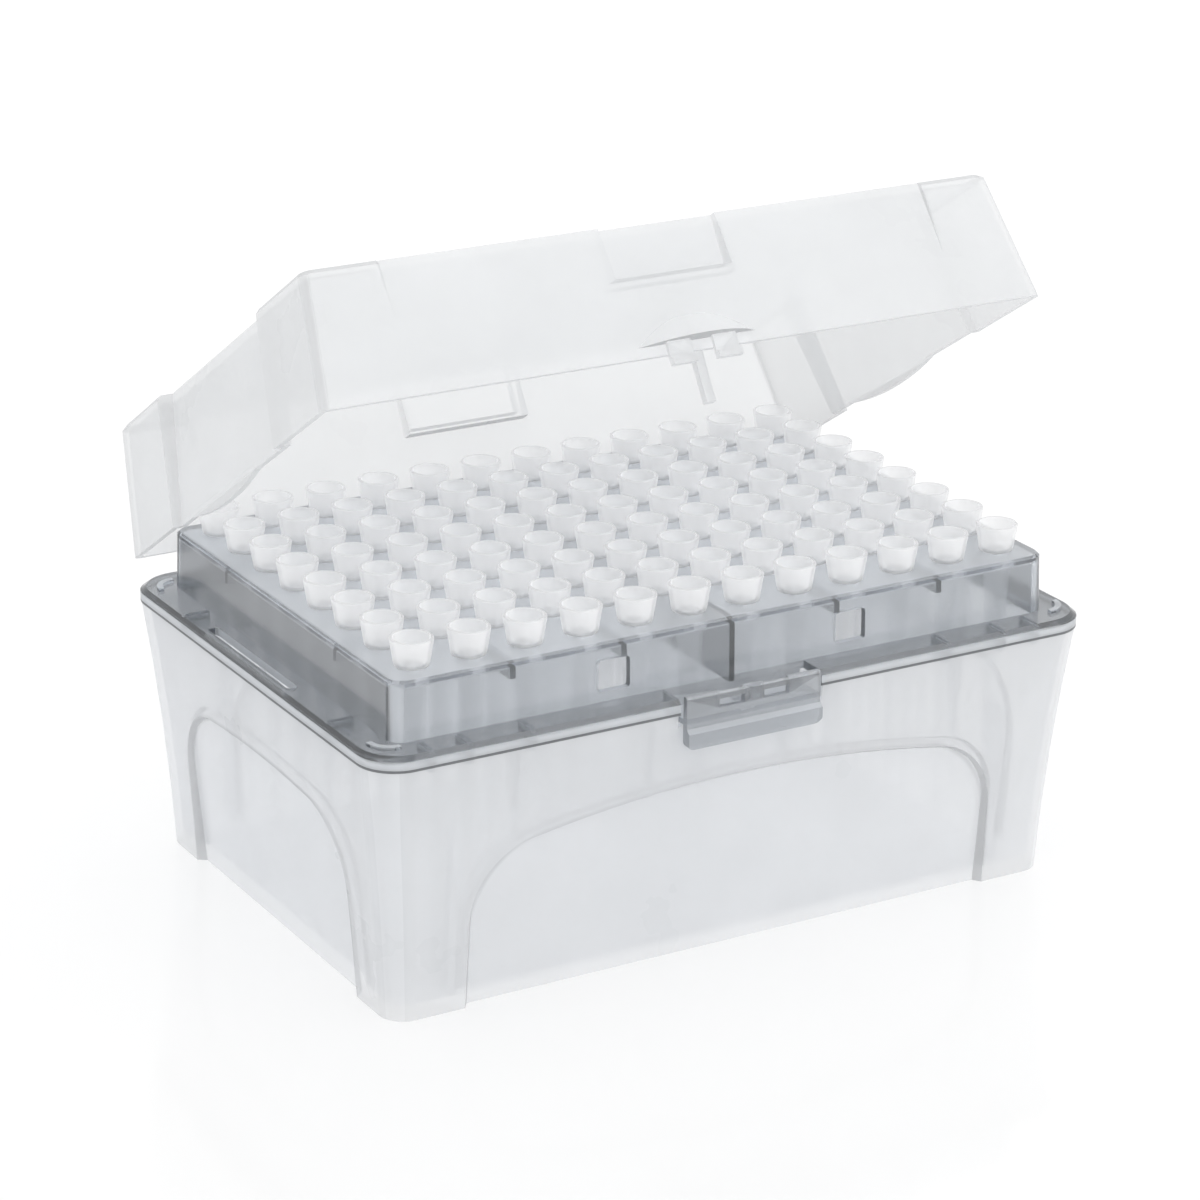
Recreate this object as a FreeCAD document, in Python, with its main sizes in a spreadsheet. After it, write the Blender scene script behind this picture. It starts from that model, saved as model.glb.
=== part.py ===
"""A box of pipette tips: a flared tub, a drop-in tray with ninety-six holes, the tips, and a hinged lid.

Units are millimetres. X runs along the long side, the latch is on the -Y side, the hinge on the +Y side.
The origin is on the surface that the box stands on, under the middle of the grid of tips.
"""

import FreeCAD, Part
import math
import os

import Sketcher
from FreeCAD import Placement, Rotation, Vector

doc = FreeCAD.newDocument("TipBox")

# ---------------------------------------------------------------- driving sizes

SIZES = [
    # grid of tips
    ("tip_pitch", 9.0, "centre to centre, along both sides"),
    ("grid_columns", 12, "tips along the long side"),
    ("grid_rows", 8, "tips along the short side"),
    ("round_sides", 6, "flats that stand for a circle on the tips and their holes"),
    # tip
    ("tip_rim_radius", 3.15, "outside of the rim"),
    ("tip_cup_radius", 2.6, "outside of the cup just above the shoulder"),
    ("tip_neck_radius", 1.95, "shaft just under the shoulder"),
    ("tip_end_radius", 0.5, "outside of the open end"),
    ("tip_cup_height", 4.3, "rim above the shoulder"),
    ("tip_shaft_length", 41.7, "shoulder to the open end"),
    ("tip_rim_wall", 0.5, "wall at the rim"),
    ("tip_neck_wall", 0.45, "wall at the foot of the socket"),
    ("tip_end_wall", 0.25, "wall at the open end"),
    ("tip_socket_depth", 5.6, "rim to the foot of the socket"),
    ("tip_ledge", 0.15, "ledge at the foot of the socket"),
    # tray
    ("plate_margin_x", 5.55, "outer hole centre to the plateau's short side"),
    ("plate_margin_y", 5.2, "outer hole centre to the plateau's long side"),
    ("plate_thickness", 1.2, "plate that carries the tips"),
    ("plateau_rise", 8.9, "plate above the flange"),
    ("plateau_wall", 1.0, "side wall"),
    ("plateau_draft", 0.25, "each wall's lean over its height"),
    ("plateau_corner", 2.5, "upright corner radius"),
    ("plateau_edge", 0.35, "bevel round the plate"),
    ("hole_clearance", 0.2, "hole over the tip's neck, on the radius"),
    ("flange_width", 5.35, "plateau's side to the skirt's outer face, short sides"),
    ("flange_depth", 5.2, "the same on the long sides"),
    ("flange_thickness", 1.2, "flat part"),
    ("flange_corner", 6.0, "corner radius"),
    ("flange_edge", 0.7, "bevel round the flange"),
    ("skirt_height", 2.3, "flange's top to the skirt's foot"),
    ("skirt_wall", 1.0, "skirt thickness"),
    ("rib_thickness", 0.9, "stiffening ribs"),
    ("short_rib_depth", 3.0, "ribs under the plate"),
    ("rib_pitches", 2, "pitches from one rib under the plate to the next"),
    ("window_width", 5.2, "opening in the plateau's long wall"),
    ("window_height", 4.7, "the same, upright"),
    ("window_offset", 20.0, "window's middle from the box's middle"),
    ("window_sill", 1.5, "window's foot above the flange"),
    ("window_corner", 0.5, "window's corner radius"),
    ("leg_outer", 4.05, "outer leg under the flange, inside the plateau's short side"),
    ("leg_middle", 10.05, "middle leg, the same"),
    ("leg_inner", 20.05, "inner leg, the same"),
    ("leg_side", 24.0, "leg on the short sides, from the middle"),
    ("leg_drop", 1.4, "legs, below the tub's rim"),
    ("leg_clearance", 0.4, "legs to the tub's wall"),
    ("corner_rib_gap", 0.3, "curved locating rib inside the lid's corner"),
    ("corner_rib_radius", 3.7, "the same, its outer face"),
    ("corner_rib_height", 0.5, "the same, above the flange"),
    # latch
    ("latch_width", 22.6, "sprung tongue"),
    ("latch_slit", 0.6, "slit at each end of the tongue"),
    ("latch_thickness", 1.0, "tongue"),
    ("latch_top", 0.4, "tongue above the flange"),
    ("latch_drop", 7.6, "tongue's foot under the flange's top"),
    ("latch_set_back", 0.3, "tongue's back face inside the skirt's outer face"),
    ("latch_bevel", 0.3, "bevel along the tongue's top"),
    ("latch_lip", 0.7, "finger ridge in front of the tongue"),
    ("latch_lip_foot", 0.9, "ridge's foot above the tongue's foot"),
    ("latch_lip_face", 1.7, "ridge's face, upright"),
    ("latch_lip_slope", 0.6, "slope from the ridge's face to the tongue"),
    ("latch_toe", 0.2, "tongue's foot behind its front face"),
    ("latch_gap", 0.2, "tongue to the tub behind it"),
    ("latch_web_drop", 3.1, "web's top under the flange's top"),
    ("latch_web", 0.8, "web that carries the tongue"),
    ("latch_corner", 1.2, "tongue's lower corners"),
    ("latch_boss", 1.1, "half-round boss in the middle of the tongue"),
    ("latch_boss_drop", 1.6, "boss's foot under the flange's top"),
    # tub
    ("base_height", 39.9, "foot to the rim that carries the tray"),
    ("base_flare", 3.7, "rim outside the foot, on each side"),
    ("flare_bow", 0.42, "share of the flare that the walls' curve gives"),
    ("base_wall", 1.2, "side wall"),
    ("base_corner_foot", 4.0, "corner radius at the foot"),
    ("base_corner_rim", 6.0, "corner radius at the rim"),
    ("base_floor", 1.2, "floor thickness"),
    ("foot_recess", 0.8, "floor's underside above the standing rim"),
    ("foot_rim", 4.5, "width of the standing rim"),
    ("skirt_overhang", 0.1, "skirt outside the tub's rim"),
    ("arch_depth", 1.3, "panel set back from the corner posts"),
    ("arch_lean", 5.6, "panel's lean from upright, degrees"),
    ("arch_bevel", 35.0, "slope of the arch's edge, degrees"),
    ("arch_height", 28.0, "crown of the arch"),
    ("arch_shoulder", 11.0, "radius of the arch's shoulders"),
    ("arch_crown", 190.0, "radius of the arch's crown"),
    ("post_long", 12.7, "corner post along the long side"),
    ("post_short", 11.7, "corner post along the short side"),
    ("gusset_inner", 7.0, "gussets on the long sides, from the middle"),
    ("gusset_middle", 15.5, "the next pair"),
    ("gusset_outer", 37.5, "the outer pair"),
    ("gusset_foot", 0.65, "gusset's foot, as a share of the tub's height"),
    ("gusset_drop", 0.7, "gusset's top under the rim"),
    ("gusset_reach", 3.4, "gusset's reach into the tub, at its top"),
    ("post_rib_inset", 3.6, "upright rib inside each corner post"),
    ("post_rib_reach", 4.0, "the same, into the tub"),
    ("rib_root", 0.6, "ribs, into the wall that carries them"),
    # lid
    ("lid_gap", 0.1, "rim above the flange when shut"),
    ("lid_height", 20.25, "rim to top"),
    ("lid_inset_x", 0.5, "rim inside the flange, short sides"),
    ("lid_inset_front", 1.75, "rim inside the flange at the latch"),
    ("lid_inset_back", 2.75, "rim inside the flange at the hinge"),
    ("lid_lean_x", 2.75, "lean of the short walls over the height"),
    ("lid_lean_y", 1.2, "lean of the long walls over the height"),
    ("lid_wall", 1.0, "wall"),
    ("lid_corner", 1.5, "upright corner radius"),
    ("lid_edge", 0.7, "bevel round the top"),
    ("lid_post_short", 18.7, "corner post along the short side"),
    ("lid_post_long", 14.7, "corner post along the long side"),
    ("lid_side_recess_rim", 1.4, "short side's panel behind its posts, at the rim"),
    ("lid_side_recess_top", 2.6, "the same at the top"),
    ("lid_front_recess", 0.8, "long side's panel behind its posts, at the top"),
    ("lid_front_fade", 8.7, "height at which that panel meets the wall"),
    ("notch_width", 19.4, "notch in the top edge"),
    ("notch_height", 8.0, "the same, upright"),
    ("notch_depth", 2.0, "the same, inwards"),
    ("ledge_width", 19.2, "thumb ledge where it leaves the wall"),
    ("ledge_reach", 3.7, "thumb ledge in front of the wall"),
    ("ledge_foot", 1.6, "ledge's underside above the rim"),
    ("ledge_height", 3.7, "ledge, upright"),
    ("hook_inner", 1.8, "catch's inner end from the middle"),
    ("hook_outer", 5.75, "catch's outer end from the middle"),
    ("hook_thickness", 0.6, "catch's plate"),
    ("hook_lip", 0.55, "catch's lip in front of its plate"),
    ("hook_lip_height", 1.0, "catch's lip, upright"),
    ("hook_drop", 1.95, "catch under the rim"),
    ("hook_clearance", 0.15, "catch to its window, all round"),
    ("stem_width", 1.5, "guide stem"),
    ("stem_drop", 7.6, "guide stem under the rim"),
    ("stem_clearance", 0.4, "hole round the stem"),
    ("tongue_length", 26.0, "tongue under the lid's short sides"),
    ("tongue_drop", 1.25, "the same, under the rim"),
    ("tongue_shift", 3.1, "the same, its middle behind the lid's middle"),
    ("tongue_clearance", 0.3, "slot round the tongue"),
    # hinge
    ("hinge_back", 3.6, "hinge axis behind the skirt"),
    ("hinge_drop", 1.2, "hinge axis under the flange's top"),
    ("hinge_spacing", 72.0, "between the two hinges"),
    ("pin_radius", 1.2, "hinge pin"),
    ("pin_clearance", 0.06, "clip's bore over the pin, on the radius"),
    ("clip_wall", 0.85, "clip round the pin"),
    ("clip_width", 5.4, "clip along the pin"),
    ("clip_mouth", 2.0, "opening that the pin snaps through"),
    ("cheek_thickness", 1.3, "lid's ears beside the clip"),
    ("cheek_gap", 0.4, "ear to clip"),
    ("cheek_radius", 1.9, "ear round the pin"),
    ("cheek_rise", 5.0, "ear's top above the axis, where it leaves the lid's wall"),
    ("cheek_nose", 4.0, "the same, over the pin"),
    ("cheek_rest", 0.5, "ear's underside above the flange"),
    ("bridge_foot", 2.6, "bridge's underside above the axis"),
    ("lid_open", 32.56, "lid's opening as stored, degrees"),
]

sheet = doc.addObject("Spreadsheet::Sheet", "Sizes")
for line, (alias, number, meaning) in enumerate(SIZES, start=1):
    sheet.set(f"A{line}", alias)
    sheet.set(f"B{line}", str(number))
    sheet.set(f"C{line}", meaning)
    sheet.setAlias(f"B{line}", alias)
doc.recompute()


def s(text):
    """An expression with every driving size named in it pointed at the sheet."""
    words = []
    word = ""
    for letter in text + " ":
        if letter.isalnum() or letter == "_":
            word += letter
            continue
        words.append(f"Sizes.{word}" if word in NAMES else word)
        words.append(letter)
        word = ""
    return "".join(words).strip()


NAMES = {alias for alias, _, _ in SIZES}


def number(text):
    """The present value of an expression."""
    result = sheet.evalExpression(s(text))
    return float(getattr(result, "Value", result))


# places worked out from the driving sizes
PLATE_X = "((grid_columns - 1) / 2 * tip_pitch + plate_margin_x)"
PLATE_Y = "((grid_rows - 1) / 2 * tip_pitch + plate_margin_y)"
FLANGE_X = f"({PLATE_X} + flange_width)"
FLANGE_Y = f"({PLATE_Y} + flange_depth)"
FLANGE_TOP = "(base_height + skirt_height)"
FLANGE_UNDER = f"({FLANGE_TOP} - flange_thickness)"
PLATE_TOP = f"({FLANGE_TOP} + plateau_rise)"
PLATE_UNDER = f"({PLATE_TOP} - plate_thickness)"
FOOT_X = f"({FLANGE_X} - skirt_overhang - base_flare)"
FOOT_Y = f"({FLANGE_Y} - skirt_overhang - base_flare)"
HOLE_RADIUS = "(tip_neck_radius + hole_clearance)"
LID_X = f"({FLANGE_X} - lid_inset_x)"
LID_FRONT = f"({FLANGE_Y} - lid_inset_front)"
LID_BACK = f"({FLANGE_Y} - lid_inset_back)"
LID_Y = f"(({LID_FRONT} + {LID_BACK}) / 2)"
LID_MID = f"(({LID_BACK} - {LID_FRONT}) / 2)"
TONGUE_Y = f"({LID_MID} + tongue_shift)"
LID_RIM = f"({FLANGE_TOP} + lid_gap)"
LID_TOP = f"({LID_RIM} + lid_height)"
LATCH_BACK = f"({FLANGE_Y} - latch_set_back)"
LATCH_FRONT = f"({LATCH_BACK} + latch_thickness)"
HINGE_Y = f"({FLANGE_Y} + hinge_back)"
HINGE_Z = f"({FLANGE_TOP} - hinge_drop)"


# ---------------------------------------------------------------- helpers


def bind(thing, **sizes):
    """Bind properties to expressions. A double underscore stands for a dot."""
    for name, text in sizes.items():
        thing.setExpression(name.replace("__", "."), s(str(text)))
    return thing


def origin_plane(body, role):
    return next(f for f in body.Origin.OriginFeatures if f.Role == role)


def sketch_on(body, name, role="XY_Plane", offset="0"):
    sketch = body.newObject("Sketcher::SketchObject", name)
    sketch.AttachmentSupport = (origin_plane(body, role), [""])
    sketch.MapMode = "FlatFace"
    sketch.setExpression("AttachmentOffset.Base.z", s(offset))
    return sketch


def constrain(sketch, name, *parts, size=None):
    """Add a constraint, bound to an expression if it has a size."""
    if size is None:
        return sketch.addConstraint(Sketcher.Constraint(name, *parts))
    index = sketch.addConstraint(Sketcher.Constraint(name, *parts, number(size)))
    sketch.setExpression(f"Constraints[{index}]", s(size))
    return index


def rounded_rectangle(sketch, half_x, half_y, radius):
    """A centred rectangle with round corners, its three sizes bound."""
    a, b, r = number(half_x), number(half_y), number(radius)
    corners = [(1, -1), (1, 1), (-1, 1), (-1, -1)]
    lines = [
        (Vector(-a + r, -b, 0), Vector(a - r, -b, 0)),
        (Vector(a, -b + r, 0), Vector(a, b - r, 0)),
        (Vector(a - r, b, 0), Vector(-a + r, b, 0)),
        (Vector(-a, b - r, 0), Vector(-a, -b + r, 0)),
    ]
    for side, (start, end) in enumerate(lines):
        sketch.addGeometry(Part.LineSegment(start, end), False)
        sx, sy = corners[side]
        circle = Part.Circle(Vector(sx * (a - r), sy * (b - r), 0), Vector(0, 0, 1), r)
        first = -math.pi / 2 + side * math.pi / 2
        sketch.addGeometry(Part.ArcOfCircle(circle, first, first + math.pi / 2), False)
    for side in range(4):
        line, arc, after = 2 * side, 2 * side + 1, (2 * side + 2) % 8
        constrain(sketch, "Tangent", line, 2, arc, 1)
        constrain(sketch, "Tangent", arc, 2, after, 1)
    for arc in (3, 5, 7):
        constrain(sketch, "Equal", 1, arc)
    constrain(sketch, "Radius", 1, size=radius)
    constrain(sketch, "Horizontal", 4)
    constrain(sketch, "Vertical", 6)
    constrain(sketch, "Symmetric", 0, 1, 0, 2, -2)
    constrain(sketch, "Symmetric", 2, 1, 2, 2, -1)
    constrain(sketch, "DistanceX", -1, 1, 2, 1, size=half_x)
    constrain(sketch, "DistanceY", -1, 1, 4, 1, size=half_y)
    return sketch


def outline(sketch, points):
    """A closed outline of straight sides, each corner placed by two expressions."""
    places = [Vector(number(x), number(y), 0) for x, y in points]
    count = len(places)
    for i in range(count):
        sketch.addGeometry(Part.LineSegment(places[i], places[(i + 1) % count]), False)
    for i in range(count):
        constrain(sketch, "Coincident", i, 2, (i + 1) % count, 1)
    for i, (x, y) in enumerate(points):
        constrain(sketch, "DistanceX", -1, 1, i, 1, size=x)
        constrain(sketch, "DistanceY", -1, 1, i, 1, size=y)
    return sketch


def loft_form(name, sections, mid_y="0"):
    """A solid through rounded rectangles: (height, half x, half y, corner radius)."""
    body = doc.addObject("PartDesign::Body", name)
    profiles = []
    for i, (height, half_x, half_y, radius) in enumerate(sections):
        sketch = sketch_on(body, f"{name}_section_{i}", offset=height)
        profiles.append(rounded_rectangle(sketch, half_x, half_y, radius))
    loft = body.newObject("PartDesign::AdditiveLoft", f"{name}_loft")
    loft.Profile = profiles[0]
    loft.Sections = profiles[1:]
    loft.Ruled = True
    bind(body, Placement__Base__y=mid_y)
    return body


def prism_form(name, role, points, length, middle="0"):
    """A straight-sided outline on an origin plane, padded evenly to both sides of it."""
    body = doc.addObject("PartDesign::Body", name)
    sketch = outline(sketch_on(body, f"{name}_outline", role), points)
    pad = body.newObject("PartDesign::Pad", f"{name}_pad")
    pad.Profile = sketch
    pad.Midplane = True
    bind(pad, Length=length)
    axis = {"XY_Plane": "z", "XZ_Plane": "y", "YZ_Plane": "x"}[role]
    body.setExpression(f"Placement.Base.{axis}", s(middle))
    return body


def block(name, low, high):
    """A box between two corners, each given as three expressions."""
    box = doc.addObject("Part::Box", name)
    bind(box, Placement__Base__x=low[0], Placement__Base__y=low[1], Placement__Base__z=low[2])
    lengths = [f"({b}) - ({a})" for a, b in zip(low, high)]
    return bind(box, Length=lengths[0], Width=lengths[1], Height=lengths[2])


def cylinder_x(name, radius, low_x, high_x, y, z):
    """A cylinder along X."""
    rod = doc.addObject("Part::Cylinder", name)
    rod.Placement.Rotation = Rotation(Vector(0, 1, 0), 90)
    bind(rod, Radius=radius, Height=f"({high_x}) - ({low_x})")
    return bind(rod, Placement__Base__x=low_x, Placement__Base__y=y, Placement__Base__z=z)


def fuse(name, pieces):
    result = doc.addObject("Part::MultiFuse", name)
    result.Shapes = pieces
    result.Refine = True
    return result


def cut(name, base, tools):
    result = doc.addObject("Part::Cut", name)
    result.Base = base
    result.Tool = tools[0] if len(tools) == 1 else fuse(f"{name}_tools", tools)
    result.Refine = True
    return result


def common(name, first, second):
    result = doc.addObject("Part::Common", name)
    result.Base = first
    result.Tool = second
    return result


def mirrored(name, source, normal):
    """The source's mirror image across a plane through the origin."""
    result = doc.addObject("Part::Mirroring", name)
    result.Source = source
    result.Normal = normal
    return result


def grid_of(name, source, height):
    """A compound with the source at every place in the grid of tips."""
    result = doc.addObject("Part::Compound", name)
    result.Links = [
        placed(f"{name}_{column}_{row}", source, column, row, height)
        for column in range(COLUMNS)
        for row in range(ROWS)
    ]
    return result


def placed(name, source, column, row, height):
    """A link to the source at one place in the grid."""
    link = doc.addObject("App::Link", name)
    link.LinkedObject = source
    return bind(
        link,
        Placement__Base__x=f"({column} - (grid_columns - 1) / 2) * tip_pitch",
        Placement__Base__y=f"({row} - (grid_rows - 1) / 2) * tip_pitch",
        Placement__Base__z=height,
    )


COLUMNS = int(number("grid_columns"))
ROWS = int(number("grid_rows"))
SIDES = int(number("round_sides"))
FLARE_STEPS = 4


# ---------------------------------------------------------------- tub


def flared_form(name, inset, foot, rim):
    """The tub's outer face moved inwards by inset, between two heights."""
    sections = []
    for step in range(FLARE_STEPS + 1):
        share = f"({step} / {FLARE_STEPS})"
        height = f"({foot} + (({rim}) - {foot}) * {share})"
        rise = f"({height} / base_height)"
        flare = f"base_flare * ((1 - flare_bow) * {rise} + flare_bow * {rise} * {rise})"
        corner = f"base_corner_foot + (base_corner_rim - base_corner_foot) * {rise} - ({inset})"
        sections.append((height, f"{FOOT_X} + {flare} - ({inset})",
                         f"{FOOT_Y} + {flare} - ({inset})", corner))
    return loft_form(name, sections)


def arch_sketch(sketch, half_width, height):
    """An arch: upright sides, round shoulders and a slightly bowed crown."""
    w, top = number(half_width), number(height)
    r, big = number("arch_shoulder"), number("arch_crown")
    crown_z = top - big
    shoulder_z = crown_z + math.sqrt((big - r) ** 2 - (w - r) ** 2)
    reach = math.atan2(shoulder_z - crown_z, w - r)
    foot = -3.0

    def arc(x, z, radius, first, last):
        circle = Part.Circle(Vector(x, z, 0), Vector(0, 0, 1), radius)
        sketch.addGeometry(Part.ArcOfCircle(circle, first, last), False)

    sketch.addGeometry(Part.LineSegment(Vector(-w, foot, 0), Vector(w, foot, 0)), False)
    sketch.addGeometry(Part.LineSegment(Vector(w, foot, 0), Vector(w, shoulder_z, 0)), False)
    arc(w - r, shoulder_z, r, 0, reach)
    arc(0, crown_z, big, reach, math.pi - reach)
    arc(r - w, shoulder_z, r, math.pi - reach, math.pi)
    sketch.addGeometry(Part.LineSegment(Vector(-w, shoulder_z, 0), Vector(-w, foot, 0)), False)
    constrain(sketch, "Coincident", 0, 2, 1, 1)
    for before, after in ((1, 2), (2, 3), (3, 4), (4, 5)):
        constrain(sketch, "Tangent", before, 2, after, 1)
    constrain(sketch, "Coincident", 5, 2, 0, 1)
    constrain(sketch, "Vertical", 1)
    constrain(sketch, "Vertical", 5)
    constrain(sketch, "Symmetric", 0, 1, 0, 2, -2)
    constrain(sketch, "Equal", 2, 4)
    constrain(sketch, "Radius", 2, size="arch_shoulder")
    constrain(sketch, "Radius", 3, size="arch_crown")
    constrain(sketch, "PointOnObject", 3, 3, -2)
    constrain(sketch, "DistanceX", -1, 1, 1, 1, size=half_width)
    constrain(sketch, "DistanceY", -1, 1, 3, 3, size=f"{height} - arch_crown")
    constrain(sketch, "DistanceY", -1, 1, 0, 1, size=str(foot))


def arch_form(name, half_width, distance, turn, inset, grow):
    """What is cut from one side of a tub form, to set its arched panel back."""
    body = doc.addObject("PartDesign::Body", name)
    sketch = sketch_on(body, f"{name}_outline", "XZ_Plane")
    arch_sketch(sketch, f"{half_width} + ({grow})", f"arch_height + ({grow})")
    pad = body.newObject("PartDesign::Pad", f"{name}_pad")
    pad.Profile = sketch
    bind(pad, Length="arch_depth + base_flare + 2", TaperAngle="arch_bevel")
    lean = Rotation(Vector(1, 0, 0), number("arch_lean"))
    body.Placement.Rotation = Rotation(Vector(0, 0, 1), turn) * lean
    out = f"({distance} - arch_depth - ({inset}))"
    place = {0: ("y", "-"), 90: ("x", ""), 180: ("y", ""), 270: ("x", "-")}[turn]
    body.setExpression(f"Placement.Base.{place[0]}", s(f"{place[1]}{out}"))
    return body


def panelled_form(name, inset, foot, rim):
    """The flared form with its four arched panels set back."""
    long_half, short_half = f"({FOOT_X} - post_long)", f"({FOOT_Y} - post_short)"
    sides = [(0, long_half, FOOT_Y), (90, short_half, FOOT_X),
             (180, long_half, FOOT_Y), (270, short_half, FOOT_X)]
    arches = [
        arch_form(f"{name}_arch_{turn}", half, distance, turn, inset, inset)
        for turn, half, distance in sides
    ]
    return cut(name, flared_form(f"{name}_flare", inset, foot, rim), arches)


def wall_wedge(name, x, thickness, foot, rim, foot_range, rim_range):
    """An upright rib on the long wall at +Y: its reach along Y differs at foot and rim."""
    wedge = doc.addObject("Part::Wedge", name)
    wedge.Placement.Rotation = Rotation(Vector(1, 0, 0), 90)
    bind(
        wedge,
        Xmin="0", X2min="0", Xmax=thickness, X2max=thickness,
        Ymin=foot, Ymax=rim,
        Zmin=f"-({foot_range[1]})", Zmax=f"-({foot_range[0]})",
        Z2min=f"-({rim_range[1]})", Z2max=f"-({rim_range[0]})",
        Placement__Base__x=f"{x} - {thickness} / 2",
    )
    return wedge


def build_base():
    outside = panelled_form("base_outside", "0", "0", "base_height")
    # the inside runs a little past the rim, so that the mouth is cut clean
    floor_top = "(foot_recess + base_floor)"
    inside = panelled_form("base_inside", "base_wall", floor_top, "(base_height + 0.01)")
    underside = loft_form("base_underside", [
        ("-1", f"{FOOT_X} - foot_rim", f"{FOOT_Y} - foot_rim", "base_corner_foot"),
        ("foot_recess", f"{FOOT_X} - foot_rim", f"{FOOT_Y} - foot_rim", "base_corner_foot"),
    ])
    ribs = []
    inner_rim = f"({FOOT_Y} + base_flare - base_wall)"
    for place in ("gusset_inner", "gusset_middle", "gusset_outer"):
        for sign in ("-", ""):
            ribs.append(wall_wedge(
                f"rib_{len(ribs)}", f"{sign}{place}", "rib_thickness",
                "(base_height * gusset_foot)", "(base_height - gusset_drop)",
                (f"{FOOT_Y} + 0.4", f"{FOOT_Y} + 1.2"),
                (f"{inner_rim} - gusset_reach", f"{inner_rim} + rib_root")))
    for sign in ("-", ""):
        ribs.append(wall_wedge(
            f"rib_{len(ribs)}", f"{sign}({FOOT_X} - post_long + post_rib_inset)", "rib_thickness",
            "(foot_recess + base_floor / 3)", "arch_height",
            (f"{FOOT_Y} - rib_root - post_rib_reach", f"{FOOT_Y} - rib_root"),
            (f"{FOOT_Y} - rib_root - post_rib_reach", f"{FOOT_Y} + 1.6")))
    back_ribs = fuse("back_ribs", ribs)
    front_ribs = mirrored("front_ribs", back_ribs, Vector(0, 1, 0))
    # room for the latch: a notch for its web and a shallow pocket behind its tongue
    half_notch = "(latch_width / 2 + latch_slit + 0.3)"
    notch_foot = f"({FLANGE_TOP} - latch_web_drop - latch_web - 0.3)"
    notch = block("latch_notch", (f"-{half_notch}", f"-{FLANGE_Y} - 1", notch_foot),
                  (half_notch, f"-({inner_rim} - 4)", "base_height + 1"))
    pocket = block("latch_pocket",
                   (f"-{half_notch}", f"-{FLANGE_Y} - 1", f"{FLANGE_TOP} - latch_drop - 0.6"),
                   (half_notch, f"-({LATCH_BACK} - latch_gap)", "base_height + 1"))
    shell = cut("base_shell", outside, [inside, underside])
    ribbed = fuse("base_ribbed", [shell, back_ribs, front_ribs])
    return cut("base", ribbed, [notch, pocket])


# ---------------------------------------------------------------- tray


def plateau_form(name, inset, foot, top, edge):
    half_x, half_y = f"({PLATE_X} - ({inset}))", f"({PLATE_Y} - ({inset}))"
    corner = f"max(plateau_corner - ({inset}); 0.5)"
    return loft_form(name, [
        (foot, f"{half_x} + plateau_draft", f"{half_y} + plateau_draft", corner),
        (f"{top} - {edge}", half_x, half_y, corner),
        (top, f"{half_x} - {edge}", f"{half_y} - {edge}", corner),
    ])


def build_holes():
    """What is cut through the plate: one hole for each tip."""
    hole = doc.addObject("Part::Prism", "hole_form")
    bind(hole, Polygon="round_sides", Circumradius=HOLE_RADIUS, Height="plate_thickness + 2")
    return grid_of("holes", hole, f"{PLATE_UNDER} - 1")


def build_tray_ribs():
    """Ribs under the plate and under the flange."""
    ribs = []
    half = "rib_thickness / 2"
    inner_x = f"({PLATE_X} - plateau_wall / 2)"
    inner_y = f"({PLATE_Y} - plateau_wall / 2)"
    rib_foot = f"({PLATE_UNDER} - short_rib_depth + plate_thickness)"
    rib_top = f"({PLATE_UNDER} + plate_thickness / 2)"
    for step in (-2, -1, 0, 1, 2):
        foot = FLANGE_UNDER if step == 0 else rib_foot
        x = f"({step} * rib_pitches * tip_pitch)"
        ribs.append(block(f"cross_rib_{step + 2}", (f"{x} - {half}", f"-{inner_y}", foot),
                          (f"{x} + {half}", inner_y, rib_top)))
    for step in (-1, 1):
        y = f"({step} * rib_pitches * tip_pitch)"
        ribs.append(block(f"long_rib_{step + 1}", (f"-{inner_x}", f"{y} - {half}", rib_foot),
                          (inner_x, f"{y} + {half}", rib_top)))
    # short legs under the flange, which find the tub's rim from inside
    inner_rim = "base_flare - base_wall - leg_clearance"
    leg_foot, leg_top = "(base_height - leg_drop)", f"({FLANGE_UNDER} + flange_thickness / 4)"
    legs = []
    for place in ("leg_outer", "leg_middle", "leg_inner"):
        x = f"({PLATE_X} - {place})"
        legs.append(block(place, (f"{x} - {half}", PLATE_Y, leg_foot),
                          (f"{x} + {half}", f"({FOOT_Y} + {inner_rim})", leg_top)))
    legs.append(block("leg_side", (PLATE_X, f"leg_side - {half}", leg_foot),
                      (f"({FOOT_X} + {inner_rim})", f"leg_side + {half}", leg_top)))
    corner = fuse("legs_one_corner", legs)
    back = [corner, mirrored("legs_other_corner", corner, Vector(1, 0, 0))]
    front = [mirrored(f"legs_front_{i}", legs_back, Vector(0, 1, 0)) for i, legs_back in enumerate(back)]
    return ribs + back + front


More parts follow.
